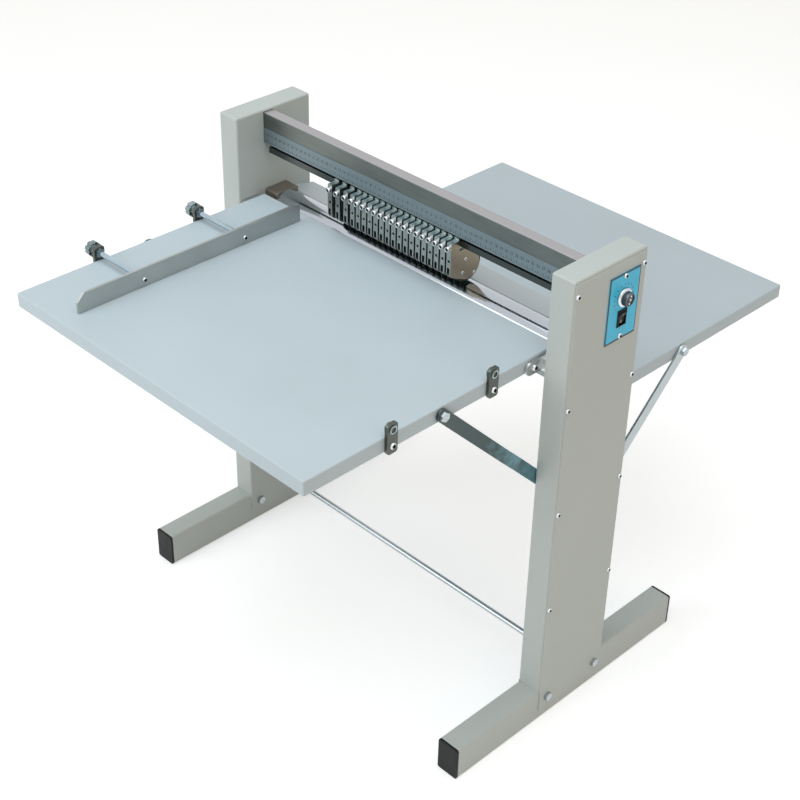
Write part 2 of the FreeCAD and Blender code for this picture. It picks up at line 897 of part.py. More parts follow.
def carriage(centre):
    """A carriage: a block hooked round the rail, with a window in front of its wheel."""
    left = centre - head_width / 2
    plate_side = centre + head_width / 2 - plate_thickness
    web_top = rail_bottom - rail_clearance
    shoulder = rail_bottom + rail_head_height + rail_clearance
    front = beam_front - rail_clearance
    back = beam_back + rail_clearance
    hook = shoulder + hook_height
    section = [(carriage_front, lobe_height), (front, lobe_height),
               (front, web_top - web_height), (back + back_jaw, web_top - web_height),
               (back + back_jaw, hook), (back - hook_reach, hook), (back - hook_reach, shoulder),
               (back, shoulder), (back, web_top), (front, web_top), (front, shoulder),
               (front + hook_reach, shoulder), (front + hook_reach, hook),
               (front - hook_root, hook), (front - hook_root, carriage_top),
               (carriage_front, carriage_top)]
    body = prism_x(section, left, plate_side)
    body = body.fuse(rod_x(left, plate_side, lobe_y, lobe_height, plate_lobe_radius))
    recess = rod_x(left - PAST, plate_side, 0, wheel_height, wheel_radius + wheel_recess_gap)
    window = block(left + cheek_thickness, plate_side, carriage_front - PAST, front,
                   window_top - window_height, window_top)
    body = cut_all(body, [recess, window])
    wheel_start = plate_side - wheel_side_gap - wheel_width
    hub = rod_x(wheel_start - wheel_side_gap, plate_side, 0, wheel_height, hub_radius)
    body = body.fuse([head_plate(centre), hub]).removeSplitter()
    hole = flat_bar(head_sides, front_hole_radius, front_hole_depth + PAST,
                    Vector(centre, carriage_front - PAST, front_hole_height), Y_AXIS)
    screw_way = screw_hole(Vector(centre, carriage_front, lock_screw_height), Y_AXIS.negative(),
                           lock_head, front - carriage_front)
    return cut_all(body, [hole, screw_way])


def head_wheel(centre):
    end = centre + head_width / 2 - plate_thickness - wheel_side_gap
    tyre = rod_x(end - wheel_width, end, 0, wheel_height, wheel_radius)
    return tyre.cut(rod_x(end - wheel_width - PAST, end + PAST, 0, wheel_height,
                          hub_radius + running_clearance))


def lock_screw(centre):
    base = Vector(centre, carriage_front, lock_screw_height)
    return screw(base, Y_AXIS.negative(), lock_head, beam_front - rail_clearance - carriage_front)


# Tables, chute and their brackets

def table_pan(top, back, front):
    """A tray of folded sheet, open below, whose edges turn in under it."""
    low = top - table_depth
    pan = block(-table_edge, table_edge, front, back, low, top)
    folds = edges_along(pan, Z_AXIS)
    for axis in (X_AXIS, Y_AXIS):
        folds.extend(edge for edge in edges_along(pan, axis) if edge.CenterOfMass.z > top - PAST)
    pan = pan.makeFillet(table_fold, folds)
    inset = table_sheet
    cavity = block(-table_edge + inset, table_edge - inset, front + inset, back - inset,
                   low + inset, top - inset)
    inset = table_lip
    opening = block(-table_edge + inset, table_edge - inset, front + inset, back - inset,
                    low - PAST, low + 2 * table_sheet)
    return pan.cut(cavity).cut(opening)


def table_edge_tools(top, side):
    y, z = strut_top(side)
    strut_hole = bolt_hole(table_edge - 2 * table_sheet, table_edge + PAST, y, z)
    pivot_hole = screw_hole(bracket_pivot_place(top, side), X_AXIS, button_head, button_length)
    return [strut_hole, pivot_hole]


def feed_table():
    tools = table_edge_tools(feed_top, -1)
    for point, outward in guide_plate_screw_places():
        tools.append(screw_hole(point, outward, button_head, button_length))
    return cut_all(table_pan(feed_top, feed_back, feed_front), both_sides(tools))


def delivery_table():
    pan = table_pan(delivery_top, delivery_back, delivery_front)
    return cut_all(pan, both_sides(table_edge_tools(delivery_top, 1)))


def table_bracket(top, side):
    """A lug beside the table, with a round nose, a screw into the table and a wall pad."""
    middle = top - bracket_pivot_drop
    low = middle - bracket_radius
    high = middle + bracket_radius
    start = bracket_face - bracket_thickness
    lug = block(start, bracket_face, bracket_tail, bracket_nose, low, high)
    lug = lug.fuse(rod_x(start, bracket_face, bracket_nose, middle, bracket_radius))
    lug = lug.fuse(block(start, half, bracket_tail, bracket_pad, low, high)).removeSplitter()
    tools = [screw_hole(bracket_pivot_place(top, 1), X_AXIS, button_head, button_length)]
    for point, outward in bracket_wall_places(top, 1):
        tools.append(screw_hole(point, outward, button_head, button_length))
    lug = cut_all(lug, tools)
    return lug if side > 0 else mirrored_y(lug)


def table_brackets():
    return both_sides([table_bracket(feed_top, -1), table_bracket(delivery_top, 1)])


def table_strut(side):
    """A flat bar with round ends, joggled outwards to lie on the column's inner face."""
    y, z = strut_top(side)
    span = strut_run(side) / math.cos(strut_direction)
    radius = strut_width / 2
    near = strut_inner_face
    far = strut_column_face
    edge = [(near, -radius), (near, strut_jog_start), (far, strut_jog_end), (far, span + radius)]
    back = [(x + strut_thickness, s) for x, s in reversed(edge)]
    corners = [Vector(x, s, -radius) for x, s in edge + back]
    bar = Part.Face(Part.makePolygon(corners + corners[:1])).extrude(Vector(0, 0, strut_width))
    outline = block(near - PAST, half + PAST, 0, span, -radius, radius)
    for s in (0, span):
        outline = outline.fuse(rod_x(near - PAST, half + PAST, s, 0, radius))
    bar = bar.common(outline)
    for s in (0, span):
        bar = bar.cut(bolt_hole(near - PAST, half + PAST, s, 0))
    bar.rotate(CENTRE, X_AXIS, -strut_angle)
    if side > 0:
        bar = mirrored_y(bar)
    bar.translate(Vector(0, y, z))
    return bar


def strut_bolts():
    """The bolts, washers and nuts at both ends of the right-hand struts."""
    pieces = []
    for side in (-1, 1):
        y, z = strut_top(side)
        head = Vector(strut_inner_face + strut_thickness, y, z)
        nut = Vector(table_edge - table_sheet, y, z)
        pieces.append(hex_bolt(head, X_AXIS, head.x - nut.x + bolt_nut_height))
        pieces.append(hex_nut(nut, X_AXIS.negative()))
        washer = rod_x(table_edge, strut_inner_face, y, z, bolt_flats / 2)
        pieces.append(washer.cut(flat_bar(shank_sides, bolt_radius, strut_washer,
                                          Vector(table_edge, y, z), X_AXIS)))
        y, z = strut_foot(side)
        head = Vector(strut_column_face, y, z)
        nut = Vector(wall_inside, y, z)
        pieces.append(hex_bolt(head, X_AXIS.negative(), nut.x - head.x + bolt_nut_height))
        pieces.append(hex_nut(nut, X_AXIS))
    return pieces


def delivery_chute():
    """A sloping sheet behind the drum, with a back edge and two side flanges turned down."""
    def section(front, back, drop, depth):
        return [(front, chute_height(front) - drop), (back, chute_height(back) - drop),
                (back, chute_height(back) - depth), (front, chute_height(front) - depth)]

    tray = prism_x(section(chute_front, chute_back, 0, chute_lip), -half, half)
    hollow = prism_x(section(chute_front - PAST, chute_back - chute_sheet, chute_sheet,
                             chute_lip + PAST), -half + chute_sheet, half - chute_sheet)
    tools = [screw_hole(point, outward, button_head, button_length)
             for point, outward in chute_screw_places()]
    return cut_all(tray.cut(hollow), both_sides(tools))


def button_screws():
    """Screws of the table brackets, the guide plates and the chute, for the right side."""
    places = guide_plate_screw_places() + chute_screw_places()
    for top, side in ((feed_top, -1), (delivery_top, 1)):
        places.append((bracket_pivot_place(top, side), X_AXIS))
        places.extend(bracket_wall_places(top, side))
    return [screw(point, outward, button_head, button_length) for point, outward in places]


# Lay guide

def guide_plate(y):
    """A plate on the table's edge, round on top about the bush that holds the guide's rod."""
    x0 = table_edge
    x1 = table_edge + guide_plate_thickness
    reach = guide_plate_width / 2
    plate = block(x0, x1, y - reach, y + reach, feed_top - guide_plate_drop, guide_axis_height)
    plate = plate.fuse(rod_x(x0, x1, y, guide_axis_height, reach)).removeSplitter()
    screw_point = Vector(x1, y, feed_top - guide_plate_screw_drop)
    return cut_all(plate, [rod_x(x0 - PAST, x1 + PAST, y, guide_axis_height, guide_bush_radius),
                           screw_hole(screw_point, X_AXIS, button_head, button_length)])


def guide_bush(y):
    """A bush through the plate, with a hexagonal collar against the plate's inner face."""
    x0 = table_edge - guide_bush_inside
    x1 = x0 + guide_bush_length
    collar = hexagon(guide_bush_flats, guide_bush_inside, Vector(x0, y, guide_axis_height), X_AXIS)
    bush = collar.fuse(rod_x(x0, x1, y, guide_axis_height, guide_bush_radius))
    return bush.cut(rod_x(x0 - PAST, x1 + PAST, y, guide_axis_height,
                          guide_rod_radius + running_clearance))


def lay_guide():
    low = feed_top + guide_lift
    high = low + guide_height
    outline = [(guide_front, low), (guide_back, low), (guide_back, high),
               (guide_front + guide_chamfer, high), (guide_front, high - guide_chamfer)]
    bar = prism_x(outline, guide_face - guide_thickness, guide_face)
    far_top = [edge for edge in edges_along(bar, X_AXIS)
               if edge.CenterOfMass.y > guide_back - PAST and edge.CenterOfMass.z > high - PAST]
    bar = bar.makeFillet(guide_round, far_top)
    tools = [screw_hole(Vector(guide_face, y, guide_axis_height), X_AXIS, dome_head,
                        guide_thickness) for y in guide_stations]
    return cut_all(bar, tools)


def guide_rod(y):
    end = guide_face - guide_thickness
    rod = rod_x(guide_rod_end, end, y, guide_axis_height, guide_rod_radius)
    return rod.cut(flat_bar(shank_sides, dome_head[2], dome_length + PAST,
                            Vector(end - dome_length, y, guide_axis_height), X_AXIS))


def guide_screw(y):
    return screw(Vector(guide_face, y, guide_axis_height), X_AXIS, dome_head, dome_length)


def clamp_nut(y):
    """A fluted nut outside the left bush, which clamps the rod."""
    seat = table_edge - guide_bush_inside + guide_bush_length + nut_seat_gap
    nut = rod_x(seat + nut_collar, seat + nut_length, y, guide_axis_height, nut_radius)
    flutes = []
    for step in range(nut_flutes):
        turn = 2 * math.pi * step / nut_flutes
        flutes.append(rod_x(seat + nut_collar - PAST, seat + nut_length + PAST,
                            y + nut_radius * math.cos(turn),
                            guide_axis_height + nut_radius * math.sin(turn), nut_flute_radius))
    nut = cut_all(nut, flutes)
    nut = nut.fuse(rod_x(seat, seat + nut_collar, y, guide_axis_height, nut_collar_radius))
    bore = rod_x(seat - PAST, seat + nut_length + PAST, y, guide_axis_height,
                 guide_rod_radius + nut_bore_clearance)
    return mirrored_x(nut.cut(bore))


# Controls

def control_panel():
    reach = panel_width / 2
    plate = block(cover_face, panel_face, panel_centre - reach, panel_centre + reach,
                  panel_bottom, panel_bottom + panel_height)
    plate = plate.makeFillet(panel_corner, edges_along(plate, X_AXIS))
    return cut_all(plate, panel_holes())


def rocker_housing():
    """The switch's bezel and the housing behind it, hollow where the rocker tilts."""
    housing = housing_box(panel_face - housing_depth, panel_face, 0)
    rim = housing_box(panel_face, panel_face + bezel_proud, bezel_rim - bezel_wall)
    rim = rim.makeChamfer(bezel_proud / 2, [edge for edge in rim.Edges
                                            if edge.BoundBox.XMin > panel_face + bezel_proud / 2])
    reach_y = rocker_width / 2 + rocker_gap
    reach_z = rocker_length / 2 + rocker_gap
    hollow = block(panel_face - housing_floor, panel_face + bezel_proud + PAST,
                   panel_centre - reach_y, panel_centre + reach_y,
                   rocker_height - reach_z, rocker_height + reach_z)
    pin = rocker_width / 2 + rocker_gap + bezel_wall
    bearing = rod_y(panel_centre - pin, panel_centre + pin, rocker_pivot, rocker_height,
                    rocker_pin_radius + running_clearance)
    return housing.fuse(rim).cut(hollow).cut(bearing)


def rocker_switch():
    """The rocker at rest, with its lower end pressed in."""
    radius = rocker_length / 2
    peak = rocker_crown + radius * math.tan(math.radians(rocker_tilt))
    outline = [(rocker_pivot - rocker_root, rocker_height - radius - PAST),
               (rocker_pivot + peak, rocker_height - radius - PAST),
               (rocker_pivot + rocker_crown, rocker_height),
               (rocker_pivot + peak, rocker_height + radius + PAST),
               (rocker_pivot - rocker_root, rocker_height + radius + PAST)]
    reach = rocker_width / 2
    body = prism_y(outline, panel_centre - reach, panel_centre + reach)
    body = body.common(rod_y(panel_centre - reach, panel_centre + reach, rocker_pivot,
                             rocker_height, radius))
    pin = reach + rocker_gap + bezel_wall - cutout_clearance
    body = body.fuse(rod_y(panel_centre - pin, panel_centre + pin, rocker_pivot, rocker_height,
                           rocker_pin_radius))
    body.rotate(Vector(rocker_pivot, panel_centre, rocker_height), Y_AXIS, rocker_tilt)
    return body


def dial_knob():
    start = panel_face + knob_face_gap
    skirt = rod_x(start, start + knob_skirt, panel_centre, knob_height, knob_radius)
    cap = Part.makeCone(knob_cap_radius, knob_cap_top_radius, knob_face - start - knob_skirt,
                        Vector(start + knob_skirt, panel_centre, knob_height), X_AXIS)
    shaft = rod_x(column_face - potentiometer_length + PAST, start, panel_centre, knob_height,
                  knob_shaft_radius)
    return skirt.fuse([cap, shaft])


def speed_controller():
    """The box of the speed control, with the potentiometer that reaches to the cover."""
    end = column_face - potentiometer_length
    box = block(wall_inside, wall_inside + controller_depth, panel_centre - controller_reach,
                panel_centre + controller_reach, controller_bottom, controller_top)
    body = box.fuse(rod_x(wall_inside + controller_depth, column_face, panel_centre, knob_height,
                          potentiometer_radius))
    return body.cut(rod_x(end, column_face + PAST, panel_centre, knob_height,
                          knob_shaft_radius + running_clearance))


def dome_screws():
    covers = both_sides([screw(point, outward, dome_head, dome_length)
                         for point, outward in cover_screw_places()])
    panel = [screw(point, outward, dome_head, dome_length)
             for point, outward in panel_screw_places()]
    return covers + panel


def head_nodes():
    """The loose heads have nodes of their own, and the close pack shares one of each kind."""
    centres = head_centres()
    groups = {}
    for index in range(gang_first - 1):
        groups["head_%02d" % (index + 1)] = [centres[index]]
    groups["head_pack"] = centres[gang_first - 1:]
    nodes = {}
    for name, group in groups.items():
        nodes[name + "_carriage"] = [carriage(centre) for centre in group]
        nodes[name + "_wheel"] = [head_wheel(centre) for centre in group]
        nodes[name + "_lock_screw"] = [lock_screw(centre) for centre in group]
    return nodes


def all_nodes():
    column = column_body()
    caps = [foot_cap(), mirrored_y(foot_cap())]
    nodes = {
        "left_column": [mirrored_x(column)],
        "right_column": [right_column()],
        "left_side_cover": [mirrored_x(side_cover())],
        "right_side_cover": [right_side_cover()],
        "dome_screws": dome_screws(),
        "left_foot": [mirrored_x(foot())],
        "right_foot": [foot()],
        "foot_end_caps": both_sides(caps),
        "foot_bolts": both_sides(foot_bolts()),
        "tie_rod": [tie_rod()],
        "tie_rod_nuts": both_sides(tie_rod_nuts()),
        "cord_gland": [cord_gland()],
        "crossbeam": [crossbeam()],
        "beam_cleats": both_sides([beam_cleat()]),
        "scale_strip": [scale_strip()],
        "head_rail": [head_rail()],
        "rail_screws": rail_screws(),
        "bearing_blocks": both_sides([bearing_block()]),
        "bearing_bushes": both_sides([bearing_bush()]),
        "socket_screws": socket_screws(),
        "drum": [drum()],
        "drum_pulley": [pulley(0, drum_height, shaft_radius)],
        "motor_pulley": [motor_pulley()],
        "output_shaft": [output_shaft()],
        "drive_belt": [drive_belt()],
        "gear_motor": [gear_motor()],
        "gearhead": [gearhead()],
        "delivery_chute": [delivery_chute()],
        "feed_table": [feed_table()],
        "delivery_table": [delivery_table()],
        "table_brackets": table_brackets(),
        "feed_struts": both_sides([table_strut(-1)]),
        "delivery_struts": both_sides([table_strut(1)]),
        "strut_bolts": both_sides(strut_bolts()),
        "button_screws": both_sides(button_screws()),
        "guide_plates": both_sides([guide_plate(y) for y in guide_stations]),
        "guide_bushes": both_sides([guide_bush(y) for y in guide_stations]),
        "lay_guide": [lay_guide()],
        "guide_rods": [guide_rod(y) for y in guide_stations],
        "guide_screws": [guide_screw(y) for y in guide_stations],
        "front_clamp_nut": [clamp_nut(guide_stations[0])],
        "rear_clamp_nut": [clamp_nut(guide_stations[1])],
        "speed_controller": [speed_controller()],
        "control_panel": [control_panel()],
        "rocker_housing": [rocker_housing()],
        "rocker_switch": [rocker_switch()],
        "dial_knob": [dial_knob()],
    }
    nodes.update(head_nodes())
    return nodes


def write_parts(nodes):
    os.makedirs("parts", exist_ok=True)
    for name, solids in nodes.items():
        shape = solids[0] if len(solids) == 1 else Part.makeCompound(solids)
        placed = shape.copy()
        placed.translate(Vector(-origin_x, -origin_y, 0))
        placed.exportStep("parts/%s.step" % name)


write_parts(all_nodes())
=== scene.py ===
import json
import math

import bmesh
import bpy
from bpy.props import FloatProperty, FloatVectorProperty, PointerProperty
from mathutils import Matrix, Vector
from mathutils.bvhtree import BVHTree


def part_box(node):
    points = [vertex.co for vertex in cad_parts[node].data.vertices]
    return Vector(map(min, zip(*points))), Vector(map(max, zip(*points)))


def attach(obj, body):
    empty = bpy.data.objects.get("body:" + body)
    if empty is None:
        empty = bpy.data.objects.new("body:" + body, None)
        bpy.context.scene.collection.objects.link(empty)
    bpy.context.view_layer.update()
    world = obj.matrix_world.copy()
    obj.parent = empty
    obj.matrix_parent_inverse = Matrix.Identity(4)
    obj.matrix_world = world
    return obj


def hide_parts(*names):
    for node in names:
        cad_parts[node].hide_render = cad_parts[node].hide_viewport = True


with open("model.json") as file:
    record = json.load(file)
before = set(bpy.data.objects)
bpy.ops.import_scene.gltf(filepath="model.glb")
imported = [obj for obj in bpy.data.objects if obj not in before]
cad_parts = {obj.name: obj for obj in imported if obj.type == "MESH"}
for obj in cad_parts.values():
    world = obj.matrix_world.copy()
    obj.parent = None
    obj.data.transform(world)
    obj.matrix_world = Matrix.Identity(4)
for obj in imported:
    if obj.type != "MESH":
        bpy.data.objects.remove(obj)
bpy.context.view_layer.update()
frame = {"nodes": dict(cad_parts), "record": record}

bl_info = {
    "name": "Creasing Machine Finisher",
    "version": (1, 0, 0),
    "blender": (4, 5, 0),
    "location": "3D View > Sidebar > Creaser",
    "description": "Finishes and small parts for a paper creasing machine on two legs",
    "category": "Object",
}

MM = 0.001
X_AXIS = Vector((1, 0, 0))
WHITE = (1, 1, 1, 1)
NODE_SLOTS = {row["node"]: row["material_slot"] for row in frame["record"]["subparts"]}
NODE_BODIES = {node: body for body, nodes in frame["record"]["behaviour"]["bodies"].items()
               for node in nodes}


def screen_colour(red, green, blue):
    """A colour read on a screen, 0 to 255, as the linear colour that a shader takes."""
    linear = []
    for level in (red, green, blue):
        share = level / 255
        linear.append(share / 12.92 if share <= 0.04045 else ((share + 0.055) / 1.055) ** 2.4)
    return tuple(linear)


# Sizes, colours and light that a user would change

def colour_property(name, description, red, green, blue):
    return FloatVectorProperty(name=name, description=description, subtype="COLOR", size=3,
                               min=0, max=1, default=screen_colour(red, green, blue))


def length_property(name, description, millimetres):
    return FloatProperty(name=name, description=description, unit="LENGTH", min=0,
                         default=millimetres * MM)


class CreaserColours(bpy.types.PropertyGroup):
    frame_paint: colour_property("Frame paint", "Columns, covers and feet", 191, 196, 192)
    # Table paint: the frame's paint made bluer, partly painted sky light on the table tops
    table_paint: colour_property("Table paint", "Feed and delivery tables", 191, 202, 208)
    # Chute paint: the table paint made darker, painted shade for the chute's tilt away from the light
    chute_paint: colour_property("Chute paint", "Sloping sheet behind the drum", 186, 193, 196)
    beam_steel: colour_property("Beam steel", "Ground front of the crossbeam", 120, 125, 121)
    # Rail steel: dark steel made darker still as painted shade under the beam
    rail_steel: colour_property("Rail steel", "Rail that the heads slide on", 84, 88, 86)
    scale_grey: colour_property("Scale strip", "Satin strip on the beam", 128, 142, 148)
    head_steel: colour_property("Head steel", "Carriages and plates", 164, 170, 166)
    # End plate: painted warm side light on the outer face of the last head's side plate
    end_plate: colour_property("End plate", "Side plate of the last head", 150, 139, 121)
    # Beam top: a painted sheen of the sky, laid on the top face of the crossbeam
    beam_top: colour_property("Beam top", "Ground top of the crossbeam", 170, 168, 170)
    nut_chrome: colour_property("Nut chrome", "Fluted clamp nuts of the lay guide", 146, 160, 163)
    rod_steel: colour_property("Rod steel", "Polished guide rods", 176, 194, 204)
    # Carriage tops: bluer than the head steel, partly painted sky light on the tops
    cap_steel: colour_property("Carriage tops", "Ground tops of the carriages", 164, 176, 176)
    knob_dark: colour_property("Dial cap", "Dark plated cap of the dial", 96, 98, 102)
    wheel_green: colour_property("Wheel tyre", "Rubber of the creasing wheels", 14, 34, 28)
    drum_steel: colour_property("Drum steel", "Ground drum", 184, 190, 197)
    zinc: colour_property("Zinc plate", "Nuts, bolts and delivery struts", 180, 187, 190)
    bracket_steel: colour_property("Bracket steel", "Bright table brackets", 196, 199, 200)
    # Strut colours: painted shade at the table end and a painted teal reflection at the column end
    strut_dark: colour_property("Strut, high end", "Passivated feed struts at the table", 76, 88, 88)
    strut_teal: colour_property("Strut, low end", "Passivated feed struts at the column", 122, 166, 180)
    guide_steel: colour_property("Guide steel", "Lay guide bar", 176, 180, 178)
    plate_steel: colour_property("Guide plate steel", "Plates that carry the guide rods", 92, 95, 90)
    bright: colour_property("Bright plating", "Screws, rods and the dial's skirt", 216, 219, 221)
    panel_blue: colour_property("Control plate", "Printed plate of the controls", 60, 196, 236)
    # The dark ink is also the painted shade in the screws' sockets
    ink: colour_property("Dark ink", "Divisions, figures and the plate's border", 30, 27, 31)
    mark: colour_property("Pale ink", "Marks on the rocker and the dial", 206, 210, 212)
    cap_black: colour_property("Moulded black", "Foot caps, rocker and bezel", 15, 16, 18)
    cast_grey: colour_property("Bearing block", "Cast bearing blocks", 134, 127, 116)
    motor_grey: colour_property("Motor enamel", "Gear motor body", 74, 79, 82)
    bronze: colour_property("Bush bronze", "Sintered bushes", 176, 140, 84)


class CreaserSizes(bpy.types.PropertyGroup):
    sheet_softness: length_property("Sheet edge", "Rounding of painted sheet edges", 0.5)
    plate_softness: length_property("Plate edge", "Rounding of ground plate edges", 0.25)
    paint_grain: length_property("Paint grain", "Size of the powder coat's texture", 0.9)


class CreaserStage(bpy.types.PropertyGroup):
    camera_place: FloatVectorProperty(name="Camera place", description="Where the camera stands",
                                      subtype="TRANSLATION", unit="LENGTH", size=3,
                                      default=(1.5234, -1.5845, 1.8792))
    camera_heading: FloatProperty(name="Heading", description="Turn of the view about Z, from +Y",
                                  subtype="ANGLE", default=math.radians(44.835))
    camera_drop: FloatProperty(name="Drop", description="Angle of the view below the horizon",
                               subtype="ANGLE", default=math.radians(34.069))
    camera_roll: FloatProperty(name="Roll", description="Turn of the camera about its own axis",
                               subtype="ANGLE", default=math.radians(1.284))
    camera_lens: FloatProperty(name="Lens", description="Focal length on a 36 mm sensor, in mm",
                               default=73.07)
    top_light: FloatProperty(name="Top light", description="Power of the softbox above, in watts",
                             default=50.0)
    front_light: FloatProperty(name="Front light", description="Power of the softbox at the "
                               "feed side, in watts", default=40.0)
    side_light: FloatProperty(name="Side light", description="Power of the warm light at the "
                              "right, in watts", default=9.0)
    sky: FloatProperty(name="Sky", description="Strength of the even light all round",
                       default=0.42)


# Material building

# The colour sockets of a Mix node, by number because its other sockets share their names
MIX_FACTOR = 0
MIX_FIRST = 6
MIX_SECOND = 7
MIX_RESULT = 2


def new_material(name, colour, roughness, metallic=0.0):
    material = bpy.data.materials.new(name)
    material.use_nodes = True
    shader = material.node_tree.nodes["Principled BSDF"]
    shader.inputs["Base Color"].default_value = (*colour, 1)
    shader.inputs["Roughness"].default_value = roughness
    shader.inputs["Metallic"].default_value = metallic
    return material


def shader_of(material):
    return material.node_tree.nodes["Principled BSDF"]


def add_node(owner, kind, values=(), **settings):
    """A new node of a material or the world. Its sockets' values are numbers or outputs."""
    node = owner.node_tree.nodes.new(kind)
    for name, value in settings.items():
        setattr(node, name, value)
    for name, value in dict(values).items():
        if isinstance(value, bpy.types.NodeSocket):
            owner.node_tree.links.new(value, node.inputs[name])
        else:
            node.inputs[name].default_value = value
    return node


def joined(owner, operation, first, second):
    """The result of a Math node on two numbers."""
    node = add_node(owner, "ShaderNodeMath", {0: first, 1: second}, operation=operation)
    return node.outputs[0]


def mixed(material, factor, first, second):
    """A colour that runs from first to second as the factor runs from 0 to 1."""
    node = add_node(material, "ShaderNodeMix",
                    {MIX_FACTOR: factor, MIX_FIRST: first, MIX_SECOND: second}, data_type="RGBA")
    return node.outputs[MIX_RESULT]


def object_place(material):
    return add_node(material, "ShaderNodeTexCoord").outputs["Object"]


def noise(material, size, detail=2.0, stretch=(1, 1, 1), offset=(0, 0, 0)):
    """A grain whose blotches are about size metres across, times stretch along each axis."""
    scale = [1 / (size * share) for share in stretch]
    mapped = add_node(material, "ShaderNodeMapping",
                      {"Vector": object_place(material), "Scale": scale, "Location": offset})
    grain = add_node(material, "ShaderNodeTexNoise",
                     {"Vector": mapped.outputs["Vector"], "Scale": 1.0, "Detail": detail})
    return grain.outputs[0]


def along(material, axis, start, end):
    """A number that runs from 0 to 1 between two places on an axis, X, Y or Z."""
    parts = add_node(material, "ShaderNodeSeparateXYZ", {"Vector": object_place(material)})
    return between(material, parts.outputs[axis], 0.0, 1.0, start, end)


def between(material, factor, low, high, start=0.3, end=0.7):
    """A number that runs from low to high as the factor runs from start to end."""
    spread = add_node(material, "ShaderNodeMapRange",
                      {"Value": factor, "From Min": start, "From Max": end,
                       "To Min": low, "To Max": high})
    return spread.outputs["Result"]


def shaded(colour, share):
    return (*[min(1.0, level * share) for level in colour], 1)


def blotched(material, factor, first, second, start=0.3, end=0.7):
    """A colour that runs from first to second as the factor runs from start to end."""
    ramp = add_node(material, "ShaderNodeValToRGB", {"Fac": factor})
    ramp.color_ramp.elements[0].position = start
    ramp.color_ramp.elements[0].color = first
    ramp.color_ramp.elements[1].position = end
    ramp.color_ramp.elements[1].color = second
    return ramp.outputs["Color"]


def set_surface(material, colour=None, roughness=None, height=None, depth=0.0, strength=1.0):
    shader = shader_of(material)
    links = material.node_tree.links
    if colour is not None:
        links.new(colour, shader.inputs["Base Color"])
    if roughness is not None:
        links.new(roughness, shader.inputs["Roughness"])
    if height is not None:
        bump = add_node(material, "ShaderNodeBump",
                        {"Height": height, "Distance": depth, "Strength": strength})
        links.new(bump.outputs["Normal"], shader.inputs["Normal"])


# Finishes of this machine

COAT_CLOUD = 190 * MM
COAT_DEPTH = 0.06 * MM
FLECK_SPREAD = 1.7
FLECK_OFFSET = (3, 1, 2)
FLECK_SHARE = 0.16
FLECK_SHADE = 0.82
GRIND_WIDTH = 0.9 * MM
GRIND_DEPTH = 0.01 * MM
# Size of the large blotches in ground metal, which are painted reflection smudges
REFLECTION_SMUDGE_SIZE = 50 * MM
PLATING_PATCH = 20 * MM
PLATING_GRAIN = 0.6 * MM
PLATING_DEPTH = 0.004 * MM
MOULDED_GLOSS = 0.22
MOULDED_GRAIN = 0.8 * MM
MOULDED_CLOUD = 20 * MM
MOULDED_DEPTH = 0.04 * MM
CAST_GRAIN = 1.6 * MM
CAST_DEPTH = 0.06 * MM
PRINT_MOTTLE = 12 * MM
PRINT_GRAIN = 0.7 * MM
PRINT_DEPTH = 0.01 * MM
STRUT_MARKS = 1.2 * MM
STRUT_DEPTH = 0.008 * MM


def powder_coat(name, colour, grain):
    """Fine textured powder coat, with the slight cloudiness of a sprayed panel."""
    material = new_material(name, colour, 0.5)
    cloud = noise(material, COAT_CLOUD, detail=3.0)
    fine = noise(material, grain)
    speckle = noise(material, grain * FLECK_SPREAD, detail=1.0, offset=FLECK_OFFSET)
    clouded = blotched(material, cloud, shaded(colour, 0.965), shaded(colour, 1.025))
    flecks = between(material, speckle, 0.0, FLECK_SHARE, 0.45, 0.75)
    set_surface(material, colour=mixed(material, flecks, clouded, shaded(colour, FLECK_SHADE)),
                roughness=between(material, cloud, 0.46, 0.56),
                height=fine, depth=COAT_DEPTH, strength=0.5)
    return material


def ground_metal(name, colour, stroke, roughness, change, depth=GRIND_DEPTH, metallic=1.0):
    """Metal ground in one direction: stroke gives how far the marks run along each axis."""
    material = new_material(name, colour, 0.3, metallic=metallic)
    marks = noise(material, GRIND_WIDTH, detail=3.0, stretch=stroke)
    # Large blotches over the grinding marks: painted reflection smudges
    reflection_smudges = noise(material, REFLECTION_SMUDGE_SIZE, stretch=(2, 1, 1))
    both = joined(material, "ADD", between(material, marks, 0.0, 0.5),
                  between(material, reflection_smudges, 0.0, 0.5))
    set_surface(material,
                colour=blotched(material, both, shaded(colour, 1 - change),
                                shaded(colour, 1 + change), 0.0, 1.0),
                roughness=between(material, marks, *roughness),
                height=marks, depth=depth, strength=0.6)
    return material


def plated(name, colour, roughness=(0.16, 0.28), change=0.05):
    """Bright plating with faint patches and fine handling marks."""
    material = new_material(name, colour, 0.3, metallic=1.0)
    patches = noise(material, PLATING_PATCH, detail=3.0)
    fine = noise(material, PLATING_GRAIN)
    set_surface(material,
                colour=blotched(material, patches, shaded(colour, 1 - change),
                                shaded(colour, 1 + change)),
                roughness=between(material, fine, *roughness),
                height=fine, depth=PLATING_DEPTH, strength=0.4)
    return material


def moulded(name, colour, roughness=(0.36, 0.52)):
    """Moulded plastic or rubber with a fine spark texture."""
    material = new_material(name, colour, 0.45)
    shader_of(material).inputs["Specular IOR Level"].default_value = MOULDED_GLOSS
    fine = noise(material, MOULDED_GRAIN)
    cloud = noise(material, MOULDED_CLOUD)
    set_surface(material,
                colour=blotched(material, cloud, shaded(colour, 0.85), shaded(colour, 1.2)),
                roughness=between(material, cloud, *roughness),
                height=fine, depth=MOULDED_DEPTH, strength=0.5)
    return material


